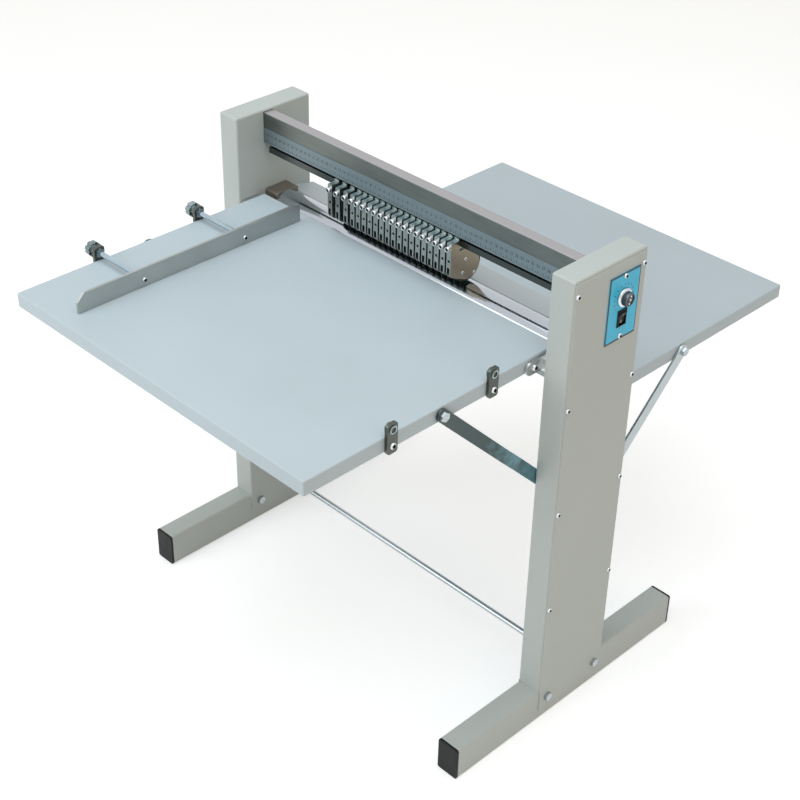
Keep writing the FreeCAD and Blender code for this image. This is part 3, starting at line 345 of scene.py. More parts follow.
def cast(name, colour, metallic):
    """Cast metal with a coarse skin."""
    material = new_material(name, colour, 0.5, metallic=metallic)
    lumps = noise(material, CAST_GRAIN, detail=4.0)
    set_surface(material,
                colour=blotched(material, lumps, shaded(colour, 0.86), shaded(colour, 1.1)),
                roughness=between(material, lumps, 0.36, 0.55),
                height=lumps, depth=CAST_DEPTH, strength=0.5)
    return material


def printed(name, colour):
    """Smooth printed ink with a faint mottle."""
    material = new_material(name, colour, 0.35)
    mottle = noise(material, PRINT_MOTTLE, detail=4.0)
    fine = noise(material, PRINT_GRAIN)
    set_surface(material,
                colour=blotched(material, mottle, shaded(colour, 0.93), shaded(colour, 1.06)),
                roughness=between(material, mottle, 0.3, 0.42),
                height=fine, depth=PRINT_DEPTH, strength=0.4)
    return material


def tinted(material, colour, axis, start, end):
    """Turn a finish to another colour past a place on an axis."""
    links = material.node_tree.links
    base = shader_of(material).inputs["Base Color"]
    tint = mixed(material, along(material, axis, start, end), base.links[0].from_socket,
                 (*colour, 1))
    links.new(tint, base)
    return material


def strut_finish(name, near, far, start, end):
    """Passivated zinc whose colour runs along Y from painted shade at the table end to a painted teal
    reflection at the column end.
    """
    material = new_material(name, near, 0.35, metallic=0.9)
    marks = noise(material, STRUT_MARKS, detail=3.0, stretch=(1, 14, 14))
    shift = joined(material, "ADD", along(material, "Y", start, end),
                   between(material, marks, -0.12, 0.12))
    set_surface(material,
                colour=blotched(material, shift, (*near, 1), (*far, 1), 0.45, 0.95),
                roughness=between(material, marks, 0.28, 0.42),
                height=marks, depth=STRUT_DEPTH, strength=0.5)
    return material


# How far below its own face a painted tint starts and is full: the painted sheen on the beam's top face
# and the painted warm side light on the end plate's outer face
BEAM_TOP_SHEEN_DEPTHS = (0.6 * MM, 0.2 * MM)
END_PLATE_WARM_LIGHT_DEPTHS = (0.9 * MM, 0.5 * MM)


def machine_finishes(colours, sizes):
    """Every finish of the machine, by the record's name for it or by its own."""
    along_x = (60, 1, 1)
    upright = (1, 1, 8)
    strut_low, strut_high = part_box("feed_struts")
    pack_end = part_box("head_pack_carriage")[1].x
    beam_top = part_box("crossbeam")[1].z
    grain = sizes.paint_grain
    beam = ground_metal("ground_beam_steel", colours.beam_steel, along_x,
                        roughness=(0.3, 0.44), change=0.18)
    pack = ground_metal("ground_pack_steel", colours.head_steel, upright,
                        roughness=(0.26, 0.4), change=0.16)
    return {
        "frame_paint": powder_coat("frame_powder_coat", colours.frame_paint, grain),
        # Table paint holds painted sky light: a bluer copy of the frame's powder coat
        "table_paint": powder_coat("table_powder_coat", colours.table_paint, grain),
        # Chute paint holds painted shade: a darker copy of the table's powder coat
        "chute_paint": powder_coat("chute_powder_coat", colours.chute_paint, grain),
        "motor_paint": powder_coat("motor_enamel", colours.motor_grey, grain),
        # Painted sheen: the beam's top face turns to the pale beam top colour
        "beam_steel": tinted(beam, colours.beam_top, "Z",
                             *[beam_top - reach for reach in BEAM_TOP_SHEEN_DEPTHS]),
        # Painted warm side light: the end plate's outer face turns to the warm end plate colour
        "pack_steel": tinted(pack, colours.end_plate, "X",
                             *[pack_end - reach for reach in END_PLATE_WARM_LIGHT_DEPTHS]),
        # The rail's colour holds painted shade from the beam above it
        "rail_steel": ground_metal("ground_rail_steel", colours.rail_steel, along_x,
                                   roughness=(0.22, 0.34), change=0.14),
        "scale_metal": ground_metal("satin_scale_strip", colours.scale_grey, along_x,
                                    roughness=(0.4, 0.5), change=0.04, metallic=0.7),
        "head_steel": ground_metal("ground_head_steel", colours.head_steel, upright,
                                   roughness=(0.26, 0.4), change=0.16),
        # Cap steel holds painted sky light: a bluer copy of the head steel for the top faces
        "cap_steel": ground_metal("ground_cap_steel", colours.cap_steel, (1, 8, 1),
                                  roughness=(0.3, 0.42), change=0.12),
        "drum_steel": ground_metal("ground_drum_steel", colours.drum_steel, (0.4, 12, 12),
                                   roughness=(0.1, 0.16), change=0.05, depth=0.003 * MM),
        "zinc": ground_metal("zinc_plate", colours.zinc, (12, 12, 1),
                             roughness=(0.2, 0.34), change=0.06, depth=0.004 * MM),
        "guide_steel": ground_metal("guide_bar_steel", colours.guide_steel, (1, 30, 1),
                                    roughness=(0.34, 0.46), change=0.08, depth=0.006 * MM),
        "plate_steel": ground_metal("guide_plate_steel", colours.plate_steel, (1, 1, 6),
                                    roughness=(0.3, 0.42), change=0.12),
        "bracket_steel": ground_metal("bracket_steel", colours.bracket_steel, (1, 8, 1),
                                      roughness=(0.24, 0.36), change=0.1),
        # Painted light along the feed struts: shade under the table, teal reflection near the column
        "zinc_blue": strut_finish("passivated_zinc", colours.strut_dark, colours.strut_teal,
                                  strut_low.y, strut_high.y),
        "fastener": plated("bright_screw_plate", colours.bright),
        "polished": plated("polished_rod", colours.rod_steel, roughness=(0.08, 0.14), change=0.08),
        "nut_chrome": plated("clamp_nut_chrome", colours.nut_chrome, roughness=(0.1, 0.2),
                             change=0.3),
        "knob_cap": plated("dark_plated_cap", colours.knob_dark, roughness=(0.2, 0.34),
                           change=0.35),
        "knob_chrome": plated("knob_chrome", colours.bright, roughness=(0.05, 0.1), change=0.03),
        "wheel_rubber": moulded("wheel_tyre_rubber", colours.wheel_green, roughness=(0.4, 0.55)),
        "black_plastic": moulded("moulded_black", colours.cap_black),
        "belt_rubber": moulded("belt_rubber", shaded(colours.cap_black, 1.4)[:3],
                               roughness=(0.55, 0.7)),
        "cast_block": cast("cast_bearing_block", colours.cast_grey, metallic=0.85),
        "bronze": cast("sintered_bronze", colours.bronze, metallic=1.0),
        "gear_aluminium": cast("gearhead_aluminium", colours.zinc, metallic=1.0),
        "panel_print": printed("printed_blue_plate", colours.panel_blue),
        # Dark ink for print, also used as painted shade in screw sockets
        "black_ink": printed("black_ink", colours.ink),
        "white_ink": printed("grey_mark_ink", colours.mark),
    }


FINISHES = {}


def finish(name):
    """A finish by its name in machine_finishes. All are made on the first use."""
    scene = bpy.context.scene
    if not FINISHES:
        FINISHES.update(machine_finishes(scene.creaser_colours, scene.creaser_sizes))
    return FINISHES[name]


# Piece building

SMOOTH_ANGLE = math.radians(32)
ROUNDED_ANGLE = math.radians(40)
FLAT_ANGLE = math.radians(0.6)
MERGE_DISTANCE = 0.002 * MM
POLE_DISTANCE = 0.001 * MM
EDGE_SEGMENTS = 2
# Points past this share of a screw's reach belong to its head's rim
HEAD_RIM_SHARE = 0.9
# The least share of a direction that lies along an axis where it counts as facing that way
FACING = 0.9


def make_piece(name, shape, material, body, smooth=True):
    """A finished mesh piece from a bmesh, riding on a body."""
    for face in shape.faces:
        face.smooth = smooth
    mesh = bpy.data.meshes.new(name)
    shape.to_mesh(mesh)
    shape.free()
    mesh.set_sharp_from_angle(angle=SMOOTH_ANGLE)
    piece = bpy.data.objects.new(name, mesh)
    bpy.context.scene.collection.objects.link(piece)
    mesh.materials.append(material)
    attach(piece, body)
    return piece


def merged_copy(node):
    """A node's mesh as a bmesh with its triangles joined into whole faces."""
    shape = bmesh.new()
    shape.from_mesh(frame["nodes"][node].data)
    bmesh.ops.remove_doubles(shape, verts=shape.verts, dist=MERGE_DISTANCE)
    bmesh.ops.dissolve_limit(shape, angle_limit=FLAT_ANGLE, verts=shape.verts,
                             edges=shape.edges)
    return shape


def softened(node, softness, material=None):
    """A copy of a CAD piece with its sharp edges rounded and its round faces smooth."""
    slot = NODE_SLOTS[node]
    piece = make_piece(node + "_finished", merged_copy(node), material or finish(slot),
                       NODE_BODIES[node])
    if softness:
        rounding = piece.modifiers.new("soft_edges", "BEVEL")
        rounding.width = softness
        rounding.segments = EDGE_SEGMENTS
        rounding.limit_method = "ANGLE"
        rounding.angle_limit = ROUNDED_ANGLE
        rounding.harden_normals = True
    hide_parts(node)


def islands(node):
    """The corner points of each separate solid of a node."""
    shape = merged_copy(node)
    shape.verts.ensure_lookup_table()
    groups = []
    seen = set()
    for start in shape.verts:
        if start.index in seen:
            continue
        seen.add(start.index)
        group = [start]
        for vertex in group:
            for edge in vertex.link_edges:
                other = edge.other_vert(vertex)
                if other.index not in seen:
                    seen.add(other.index)
                    group.append(other)
        groups.append([vertex.co.copy() for vertex in group])
    shape.free()
    return groups


def box_of(points):
    low = Vector([min(point[axis] for point in points) for axis in range(3)])
    high = Vector([max(point[axis] for point in points) for axis in range(3)])
    return low, high


def reach_from(point, middle, axis):
    """How far a point lies from the line through middle along the axis."""
    offset = point - middle
    return (offset - axis * offset.dot(axis)).length


def screw_seats(node):
    """Where each screw of a node sits: its seat, direction, head and shank sizes."""
    seats = []
    for points in islands(node):
        low, high = box_of(points)
        size = high - low
        axis = max(range(3), key=lambda index: size[index])
        middle = (low + high) / 2
        outward = Vector((0, 0, 0))
        outward[axis] = 1
        reaches = [reach_from(point, middle, outward) for point in points]
        head_radius = max(reaches)
        rim = [point[axis] for point, reach in zip(points, reaches)
               if reach > HEAD_RIM_SHARE * head_radius]
        if sum(rim) / len(rim) < middle[axis]:
            outward.negate()
        seat = middle.copy()
        seat[axis] = min(rim) if outward[axis] > 0 else max(rim)
        head_height = max(rim) - min(rim)
        seats.append({"seat": seat, "outward": outward, "head": head_radius,
                      "height": head_height, "shank": min(reaches),
                      "length": size[axis] - head_height})
    return seats


def turned(shape, profile, centre, outward, steps):
    """Add a turned form to a bmesh: profile holds (radius, height) pairs along outward."""
    side = outward.orthogonal().normalized()
    rim = [shape.verts.new(centre + side * radius + outward * height)
           for radius, height in profile]
    edges = [shape.edges.new(pair) for pair in zip(rim, rim[1:])]
    bmesh.ops.spin(shape, geom=rim + edges, cent=centre, axis=outward, angle=2 * math.pi,
                   steps=steps, use_merge=True)


def closed(shape):
    """The bmesh with its poles merged and its faces turned outwards."""
    bmesh.ops.remove_doubles(shape, verts=shape.verts, dist=POLE_DISTANCE)
    bmesh.ops.recalc_face_normals(shape, faces=shape.faces)
    return shape


def bar(shape, low, high, turn=None):
    """Add a box between two corners to a bmesh, turned by a matrix about the origin."""
    low, high = Vector(low), Vector(high)
    size = high - low
    place = Matrix.Translation((low + high) / 2) @ Matrix.Diagonal((*size, 1))
    if turn is not None:
        place = turn @ place
    return bmesh.ops.create_cube(shape, size=1, matrix=place)["verts"]


# Head profiles of the screws, as shares of the head's radius and height
DOME_PROFILE = ((1, 0), (1, 0.22), (0.94, 0.55), (0.8, 0.85), (0.62, 1), (0.52, 1), (0.48, 0.2),
                (0, 0.12))
CAP_PROFILE = ((1, 0), (1, 0.9), (0.92, 1), (0.66, 1), (0.6, 0.94), (0.58, 0.3), (0, 0.25))
SCREW_STEPS = 20
SOCKET_SHARE = 0.57


def darken_socket(shape, before, seat, outward, reach):
    """Give the second material, the dark painted shade, to the new faces in a screw's socket, near its
    axis.
    """
    for face in set(shape.faces) - before:
        offset = face.calc_center_median() - seat
        height = offset.dot(outward)
        if height > 0 and (offset - outward * height).length < reach:
            face.material_index = 1


def screw_shape(node, profile):
    """All screws of a node, turned with painted shade in the sockets of their heads."""
    shape = bmesh.new()
    for screw in screw_seats(node):
        before = set(shape.faces)
        outline = [(0, -screw["length"]), (screw["shank"], -screw["length"]), (screw["shank"], 0)]
        outline += [(screw["head"] * radius, screw["height"] * height)
                    for radius, height in profile]
        turned(shape, outline, screw["seat"], screw["outward"], SCREW_STEPS)
        darken_socket(shape, before, screw["seat"], screw["outward"],
                      SOCKET_SHARE * screw["head"])
    return closed(shape)


def turned_screws(node, profile):
    """Round screws with painted shade in their sockets, in place of a node's plain ones."""
    slot = NODE_SLOTS[node]
    piece = make_piece(node + "_turned", screw_shape(node, profile), finish(slot),
                       NODE_BODIES[node])
    # The sockets take the dark ink as painted shade
    piece.data.materials.append(finish("black_ink"))
    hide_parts(node)


# Operators, one for each group of pieces

class CREASER_OT_painted_sheet(bpy.types.Operator):
    """Coat the columns, covers, feet, tables and chute"""
    bl_idname = "creaser.painted_sheet"
    bl_label = "Coat the painted sheet"

    def execute(self, context):
        softness = context.scene.creaser_sizes.sheet_softness
        for node in ("left_column", "right_column", "left_side_cover", "right_side_cover",
                     "left_foot", "right_foot", "feed_table", "delivery_table"):
            softened(node, softness)
        # The chute's darker paint is painted shade
        softened("delivery_chute", softness, finish("chute_paint"))
        softened("foot_end_caps", softness)
        return {"FINISHED"}


SCALE_STEP = 5 * MM
MARK_WIDTH = 0.9 * MM
LONG_MARK = 4.6 * MM
SHORT_MARK = 2.6 * MM
MARK_FOOT = 3.0 * MM
FIGURE_HEIGHT = 6.4 * MM
FIGURE_FOOT = 13.5 * MM
FIGURE_CURVE_STEPS = 2
INK_RISE = 0.05 * MM
INK_SINK = 0.1 * MM


def figure_mesh(text, height, thickness):
    """A plain number as a thin mesh in the XY plane, its foot's middle at the origin."""
    curve = bpy.data.curves.new("figure_" + text, "FONT")
    curve.body = text
    curve.size = height
    curve.align_x = "CENTER"
    curve.resolution_u = FIGURE_CURVE_STEPS
    curve.extrude = thickness
    holder = bpy.data.objects.new("figure_" + text, curve)
    mesh = bpy.data.meshes.new_from_object(holder)
    bpy.data.objects.remove(holder)
    bpy.data.curves.remove(curve)
    return mesh


def add_figure(shape, mesh, place):
    """Add a copy of a number's mesh to a bmesh, put in place by a matrix."""
    before = len(shape.verts)
    shape.from_mesh(mesh)
    shape.verts.ensure_lookup_table()
    bmesh.ops.transform(shape, matrix=place, verts=shape.verts[before:])


def scale_marks():
    """Divisions every 5 mm and a number every 10 mm, counted out from the strip's middle."""
    low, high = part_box("scale_strip")
    middle = (low.x + high.x) / 2
    face = low.y
    shape = bmesh.new()
    count = int((high.x - low.x) / 2 / SCALE_STEP)
    for index in range(-count, count + 1):
        x = middle + index * SCALE_STEP
        reach = LONG_MARK if index % 2 == 0 else SHORT_MARK
        bar(shape, (x - MARK_WIDTH / 2, face - INK_RISE, low.z + MARK_FOOT),
            (x + MARK_WIDTH / 2, face + INK_SINK, low.z + MARK_FOOT + reach))
    upright = Matrix.Rotation(math.pi / 2, 4, "X")
    for index in range(-(count // 2), count // 2 + 1):
        mesh = figure_mesh(str(abs(index)), FIGURE_HEIGHT, INK_RISE)
        place = Matrix.Translation((middle + index * 2 * SCALE_STEP, face,
                                    low.z + FIGURE_FOOT)) @ upright
        add_figure(shape, mesh, place)
        bpy.data.meshes.remove(mesh)
    return shape


class CREASER_OT_beam(bpy.types.Operator):
    """Finish the crossbeam, its scale strip and the head rail"""
    bl_idname = "creaser.beam"
    bl_label = "Finish the beam"

    def execute(self, context):
        softness = context.scene.creaser_sizes.plate_softness
        for node in ("crossbeam", "scale_strip", "beam_cleats"):
            softened(node, softness)
        softened("head_rail", softness, finish("rail_steel"))
        turned_screws("rail_screws", CAP_PROFILE)
        make_piece("scale_strip_marks", scale_marks(), finish("black_ink"), "frame",
                   smooth=False)
        return {"FINISHED"}


# Places of the end plate's screws about its wheel's axle, in Y and Z
PLATE_SCREWS = ((-7.6 * MM, 13.2 * MM), (12.2 * MM, -16.4 * MM), (-12.7 * MM, -8.2 * MM))
PLATE_SCREW = 2.8 * MM
PLATE_SCREW_SINK = 0.8 * MM
PLATE_SCREW_TOP = PLATE_SCREW_SINK + 0.6 * MM
# The screw's outline, in shares of its radius and heights above its sunk foot
PLATE_SCREW_PROFILE = ((0, 0), (1, 0), (1, PLATE_SCREW_SINK), (0.86, PLATE_SCREW_TOP),
                       (0.5, PLATE_SCREW_TOP), (0.45, PLATE_SCREW_SINK / 3),
                       (0, PLATE_SCREW_SINK / 3))
PLATE_SCREW_STEPS = 18
# The carriages' tops: depths from a carriage's front, heights from HOOK_RISE below its hook's top
HOOK_RISE = 5.3 * MM
CAP_MARGIN = 0.15 * MM
CAP_FRONT = 0.8 * MM
CAP_BACK = 14.0 * MM
SHOULDER_FRONT = 14.4 * MM
SHOULDER_BACK = 16.4 * MM
CAP_SINK = 0.4 * MM
CAP_RISE = 1.0 * MM
CAP_WALL = 1.7 * MM
CAP_POCKET = 0.6 * MM


def end_plate_screws():
    """Three flush screws in the side plate of the head at the right end, with painted shade in their
    sockets.
    """
    shape = bmesh.new()
    face = max(box_of(points)[1].x for points in islands("head_pack_carriage"))
    low, high = max((box_of(points) for points in islands("head_pack_wheel")),
                    key=lambda corners: corners[1].x)
    axle = (low + high) / 2
    profile = [(PLATE_SCREW * across, height) for across, height in PLATE_SCREW_PROFILE]
    for y, z in PLATE_SCREWS:
        before = set(shape.faces)
        foot = Vector((face - PLATE_SCREW_SINK, axle.y + y, axle.z + z))
        turned(shape, profile, foot, X_AXIS, PLATE_SCREW_STEPS)
        darken_socket(shape, before, foot, X_AXIS, SOCKET_SHARE * PLATE_SCREW)
    return closed(shape)


def carriage_caps(node):
    """A rimmed shallow pocket on top of each carriage and the shoulder behind it."""
    shape = bmesh.new()
    boxes = [box_of(points) for points in islands(node)]
    for low, high in boxes:
        top = high.z - HOOK_RISE
        bar(shape, (low.x + CAP_MARGIN, low.y + CAP_FRONT, top - CAP_SINK),
            (high.x - CAP_MARGIN, low.y + CAP_BACK, top + CAP_RISE))
        bar(shape, (low.x + CAP_MARGIN, low.y + SHOULDER_FRONT, top - CAP_SINK),
            (high.x - CAP_MARGIN, low.y + SHOULDER_BACK, high.z - CAP_SINK))
    shoulder = boxes[0][0].y + SHOULDER_FRONT
    tops = [face for face in shape.faces
            if face.normal.z > FACING and face.calc_center_median().y < shoulder]
    for face in tops:
        bmesh.ops.inset_individual(shape, faces=[face], thickness=CAP_WALL,
                                   use_even_offset=True)
        bmesh.ops.translate(shape, vec=(0, 0, -CAP_POCKET), verts=face.verts)
    return shape


class CREASER_OT_heads(bpy.types.Operator):
    """Finish the creasing heads with their wheels and lock screws"""
    bl_idname = "creaser.heads"
    bl_label = "Finish the creasing heads"

    def execute(self, context):
        softness = context.scene.creaser_sizes.plate_softness
        for head in ("head_01", "head_02", "head_03", "head_pack"):
            softened(head + "_carriage", softness,
                     finish("pack_steel" if head == "head_pack" else "head_steel"))
            softened(head + "_wheel", softness)
            turned_screws(head + "_lock_screw", CAP_PROFILE)
            make_piece(head + "_caps", carriage_caps(head + "_carriage"), finish("cap_steel"),
                       head, smooth=False)
        screws = make_piece("end_plate_screws", end_plate_screws(), finish("fastener"),
                            "head_pack")
        # The sockets take the dark ink as painted shade
        screws.data.materials.append(finish("black_ink"))
        return {"FINISHED"}


BLOCK_EDGE_SHARE = 2


class CREASER_OT_drive(bpy.types.Operator):
    """Finish the drum, its bearings and the drive"""
    bl_idname = "creaser.drive"
    bl_label = "Finish the drum and drive"

    def execute(self, context):
        softness = context.scene.creaser_sizes.plate_softness
        softened("bearing_blocks", softness * BLOCK_EDGE_SHARE)
        turned_screws("socket_screws", CAP_PROFILE)
        for node in ("drum", "bearing_bushes", "drum_pulley", "motor_pulley", "output_shaft",
                     "drive_belt", "gear_motor", "gearhead"):
            softened(node, 0)
        return {"FINISHED"}


class CREASER_OT_table_fittings(bpy.types.Operator):
    """Finish the table brackets, the struts and the tie rod"""
    bl_idname = "creaser.table_fittings"
    bl_label = "Finish the table fittings"

    def execute(self, context):
        softness = context.scene.creaser_sizes.plate_softness
        softened("table_brackets", softness, finish("bracket_steel"))
        softened("feed_struts", softness, finish("zinc_blue"))
        softened("delivery_struts", softness)
        turned_screws("button_screws", DOME_PROFILE)
        turned_screws("dome_screws", DOME_PROFILE)
        for node in ("tie_rod", "tie_rod_nuts", "foot_bolts", "strut_bolts", "cord_gland"):
            softened(node, 0)
        return {"FINISHED"}


PLATE_CORNER = 5.0 * MM
CORNER_SEGMENTS = 6
PLATE_CHAMFER = 0.5 * MM
RIM_ANGLE = math.radians(60)


def plate_bars(node):
    """The guide plates as bars with rounded corners and a fine chamfer on every edge."""
    shape = bmesh.new()
    for points in islands(node):
        bar(shape, *box_of(points))
    across = [edge for edge in shape.edges
              if abs((edge.verts[0].co - edge.verts[1].co).normalized().x) > FACING]
    bmesh.ops.bevel(shape, geom=across, offset=PLATE_CORNER, offset_type="OFFSET",
                    segments=CORNER_SEGMENTS, profile=0.5, affect="EDGES", material=-1)
    rims = [edge for edge in shape.edges if edge.calc_face_angle(0) > RIM_ANGLE]
    bmesh.ops.bevel(shape, geom=rims, offset=PLATE_CHAMFER, offset_type="OFFSET", segments=1,
                    profile=0.5, affect="EDGES", material=-1)
    return shape


class CREASER_OT_lay_guide(bpy.types.Operator):
    """Finish the lay guide with its rods, bushes and clamp nuts"""
    bl_idname = "creaser.lay_guide"
    bl_label = "Finish the lay guide"

    def execute(self, context):
        softness = context.scene.creaser_sizes.plate_softness
        softened("lay_guide", softness, finish("guide_steel"))
        plates = make_piece("guide_plate_bars", plate_bars("guide_plates"),
                            finish("plate_steel"), "frame")
        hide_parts("guide_plates")
        softened("guide_rods", 0, finish("polished"))
        softened("guide_bushes", 0, finish("nut_chrome"))
        turned_screws("guide_screws", DOME_PROFILE)
        for node in ("front_clamp_nut", "rear_clamp_nut"):
            softened(node, softness, finish("nut_chrome"))
        return {"FINISHED"}


# Controls

PANEL_BORDER_SIDE = 2.6 * MM
PANEL_BORDER_TOP = 3.0 * MM
BORDER_RISE = 0.12 * MM
PRINT_RISE = 0.06 * MM
TICK_LENGTH = 3.2 * MM
TICK_WIDTH = 1.2 * MM
TICK_RADIUS = 18.8 * MM
TICK_TURNS = (-135, -112, -90, -67, -45, -22, 0, 22, 45, 67, 90, 112, 135)
MARK_STROKE = 0.55 * MM
OFF_MARK_RADIUS = 2.1 * MM
ON_MARK_LENGTH = 4.2 * MM
MARK_INSET = 4.6 * MM
RING_STEPS = 24
KNOB_CLEARANCE = 0.6 * MM
FLUTES = 26
FLUTE_DEPTH = 0.45 * MM
FLUTES_FROM = 6.5 * MM
# Bright studs on the dial cap, set in a line as painted highlights
GLINT_STUD_SHARE = 0.78
GLINT_STUD_STEPS = 14
GLINT_STUD_RADIUS = 1.5 * MM
GLINT_STUD_RISE = 0.4 * MM
GLINT_STUD_PROFILE = ((0, -GLINT_STUD_RADIUS), (GLINT_STUD_RADIUS, -GLINT_STUD_RADIUS), (GLINT_STUD_RADIUS, GLINT_STUD_RISE),
                (GLINT_STUD_RADIUS * 0.6, GLINT_STUD_RISE * 2), (0, GLINT_STUD_RISE * 2.4))
GLINT_STUD_PLACES = ((1.0 * MM, 5.6 * MM), (0.6 * MM, 0.2 * MM), (-1.8 * MM, -5.4 * MM))
# Profiles of the dial's parts, as shares of the knob's radius and reach
SKIRT_PROFILE = ((0.72, 0), (1, 0), (1, 0.1), (0.97, 0.17), (0.8, 0.26), (0.72, 0.28))
DIAL_CAP_PROFILE = ((0.1, 0.1), (0.76, 0.1), (0.76, 0.3), (0.73, 0.66), (0.7, 0.78), (0.64, 0.82),
                    (0.58, 0.82), (0.55, 0.72), (0.3, 0.7), (0.26, 0.78), (0, 0.8))


def plate_border(node):
    """A dark printed border that stands just proud of the control plate."""
    low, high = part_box(node)
    shape = bmesh.new()
    face = high.x
    side, top = PANEL_BORDER_SIDE, PANEL_BORDER_TOP
    bar(shape, (face - BORDER_RISE, low.y, high.z - top), (face + BORDER_RISE, high.y, high.z))
    bar(shape, (face - BORDER_RISE, low.y, low.z), (face + BORDER_RISE, high.y, low.z + side))
    bar(shape, (face - BORDER_RISE, low.y, low.z + side),
        (face + BORDER_RISE, low.y + side, high.z - top))
    bar(shape, (face - BORDER_RISE, high.y - side / 2, low.z + side),
        (face + BORDER_RISE, high.y, high.z - top))
    return shape


def dial_ticks():
    """Printed ticks that fan round the dial knob, open at the foot."""
    low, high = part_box("dial_knob")
    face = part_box("control_panel")[1].x
    centre = Vector((face, (low.y + high.y) / 2, (low.z + high.z) / 2))
    shape = bmesh.new()
    for degrees in TICK_TURNS:
        turn = (Matrix.Translation(centre) @ Matrix.Rotation(math.radians(degrees), 4, "X"))
        bar(shape, (-PRINT_RISE, -TICK_WIDTH / 2, TICK_RADIUS),
            (PRINT_RISE, TICK_WIDTH / 2, TICK_RADIUS + TICK_LENGTH), turn)
    return shape


def rocker_marks():
    """The off ring on the rocker's lower half and the on stroke on its upper half."""
    shape = bmesh.new()
    rocker = merged_copy("rocker_switch")
    faces = BVHTree.FromBMesh(rocker)
    rocker.free()
    low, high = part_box("rocker_switch")
    middle = (low.y + high.y) / 2
    for height in (low.z + MARK_INSET, high.z - MARK_INSET):
        start = Vector((high.x + MARK_INSET, middle, height))
        place, outward, _, _ = faces.ray_cast(start, -X_AXIS)
        if place is None:
            raise RuntimeError("the rocker has no face under its mark")
        if height < (low.z + high.z) / 2:
            inner = OFF_MARK_RADIUS - MARK_STROKE
            ring = ((inner, -PRINT_RISE), (OFF_MARK_RADIUS, -PRINT_RISE),
                    (OFF_MARK_RADIUS, PRINT_RISE), (inner, PRINT_RISE), (inner, -PRINT_RISE))
            turned(shape, ring, place, outward, RING_STEPS)
        else:
            lean = X_AXIS.rotation_difference(outward).to_matrix().to_4x4()
            turn = Matrix.Translation(place) @ lean
            bar(shape, (-PRINT_RISE, -MARK_STROKE / 2, -ON_MARK_LENGTH / 2),
                (PRINT_RISE, MARK_STROKE / 2, ON_MARK_LENGTH / 2), turn)
    return closed(shape)


def knob_turning(profile):
    """A form turned about the dial's axis, from shares of its radius and height."""
    low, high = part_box("dial_knob")
    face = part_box("control_panel")[1].x
    radius = (high.z - low.z) / 2
    reach = high.x - face - KNOB_CLEARANCE
    centre = Vector((face + KNOB_CLEARANCE, (low.y + high.y) / 2, (low.z + high.z) / 2))
    shape = bmesh.new()
    turned(shape, [(radius * across, reach * along_axis) for across, along_axis in profile],
           centre, X_AXIS, 2 * FLUTES)
    return closed(shape), centre


def knob_cap():
    """The dial's cap with grip flutes round its side."""
    shape, centre = knob_turning(DIAL_CAP_PROFILE)
    for vertex in shape.verts:
        offset = vertex.co - centre
        across = math.hypot(offset.y, offset.z)
        if across < FLUTES_FROM:
            continue
        turn = math.atan2(offset.z, offset.y)
        if round(turn / math.pi * FLUTES) % 2:
            share = 1 - FLUTE_DEPTH / across
            vertex.co = centre + Vector((offset.x, offset.y * share, offset.z * share))
    return shape


def cap_studs():
    """Three bright studs in the dial cap's face, which stand in for its highlights: painted highlights.
    """
    low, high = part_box("dial_knob")
    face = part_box("control_panel")[1].x
    top = face + (high.x - face) * GLINT_STUD_SHARE
    middle = Vector((top, (low.y + high.y) / 2, (low.z + high.z) / 2))
    shape = bmesh.new()
    for y, z in GLINT_STUD_PLACES:
        turned(shape, GLINT_STUD_PROFILE, middle + Vector((0, y, z)), X_AXIS, GLINT_STUD_STEPS)
    return closed(shape)


class CREASER_OT_controls(bpy.types.Operator):
    """Finish the control plate, the dial knob and the rocker"""
    bl_idname = "creaser.controls"
    bl_label = "Finish the controls"

    def execute(self, context):
        softness = context.scene.creaser_sizes.plate_softness
        for node in ("control_panel", "rocker_housing", "rocker_switch", "speed_controller"):
            softened(node, softness)
        ink = finish("black_ink")
        make_piece("plate_border", plate_border("control_panel"), ink, "frame",
                   smooth=False)
        make_piece("dial_ticks", dial_ticks(), ink, "frame", smooth=False)
        make_piece("rocker_marks", rocker_marks(), finish("white_ink"), "rocker",
                   smooth=False)
        cap = make_piece("dial_cap", knob_cap(), finish("knob_cap"), "speed_dial")
        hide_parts("dial_knob")
        # Painted highlights: bright studs where the cap's highlights shine
        make_piece("dial_cap_studs", cap_studs(), finish("fastener"), "speed_dial")
        make_piece("dial_skirt", knob_turning(SKIRT_PROFILE)[0], finish("knob_chrome"),
                   "speed_dial")
        return {"FINISHED"}


# Stage

FLOOR_GLOW = 0.46
FLOOR_REACH = 30.0
FLOOR_CLOUD = 0.6
SKY_COLOUR = (1.0, 0.95, 0.87, 1)
AIM = Vector((0, 0, 0.5))
SENSOR_WIDTH = 36
VIEW_REACH = 100
# Name, power setting, place, size and colour of each softbox
SOFTBOXES = (
    ("top_softbox", "top_light", (0.2, -0.5, 3.2), (3.0, 3.0), (0.8, 0.92, 1.0)),
    ("front_softbox", "front_light", (-1.2, -3.0, 1.9), (2.2, 2.0), (0.88, 0.96, 1.0)),
    ("side_softbox", "side_light", (3.0, -0.4, 1.5), (2.0, 2.0), (1.0, 0.8, 0.56)),
)


def seen_rays(owner, *kinds):
    """1 for camera rays and rays of these kinds, and 0 for all others."""
    rays = add_node(owner, "ShaderNodeLightPath")
    seen = rays.outputs["Is Camera Ray"]
    for kind in kinds:
        seen = joined(owner, "MAXIMUM", seen, rays.outputs[kind])
    return seen


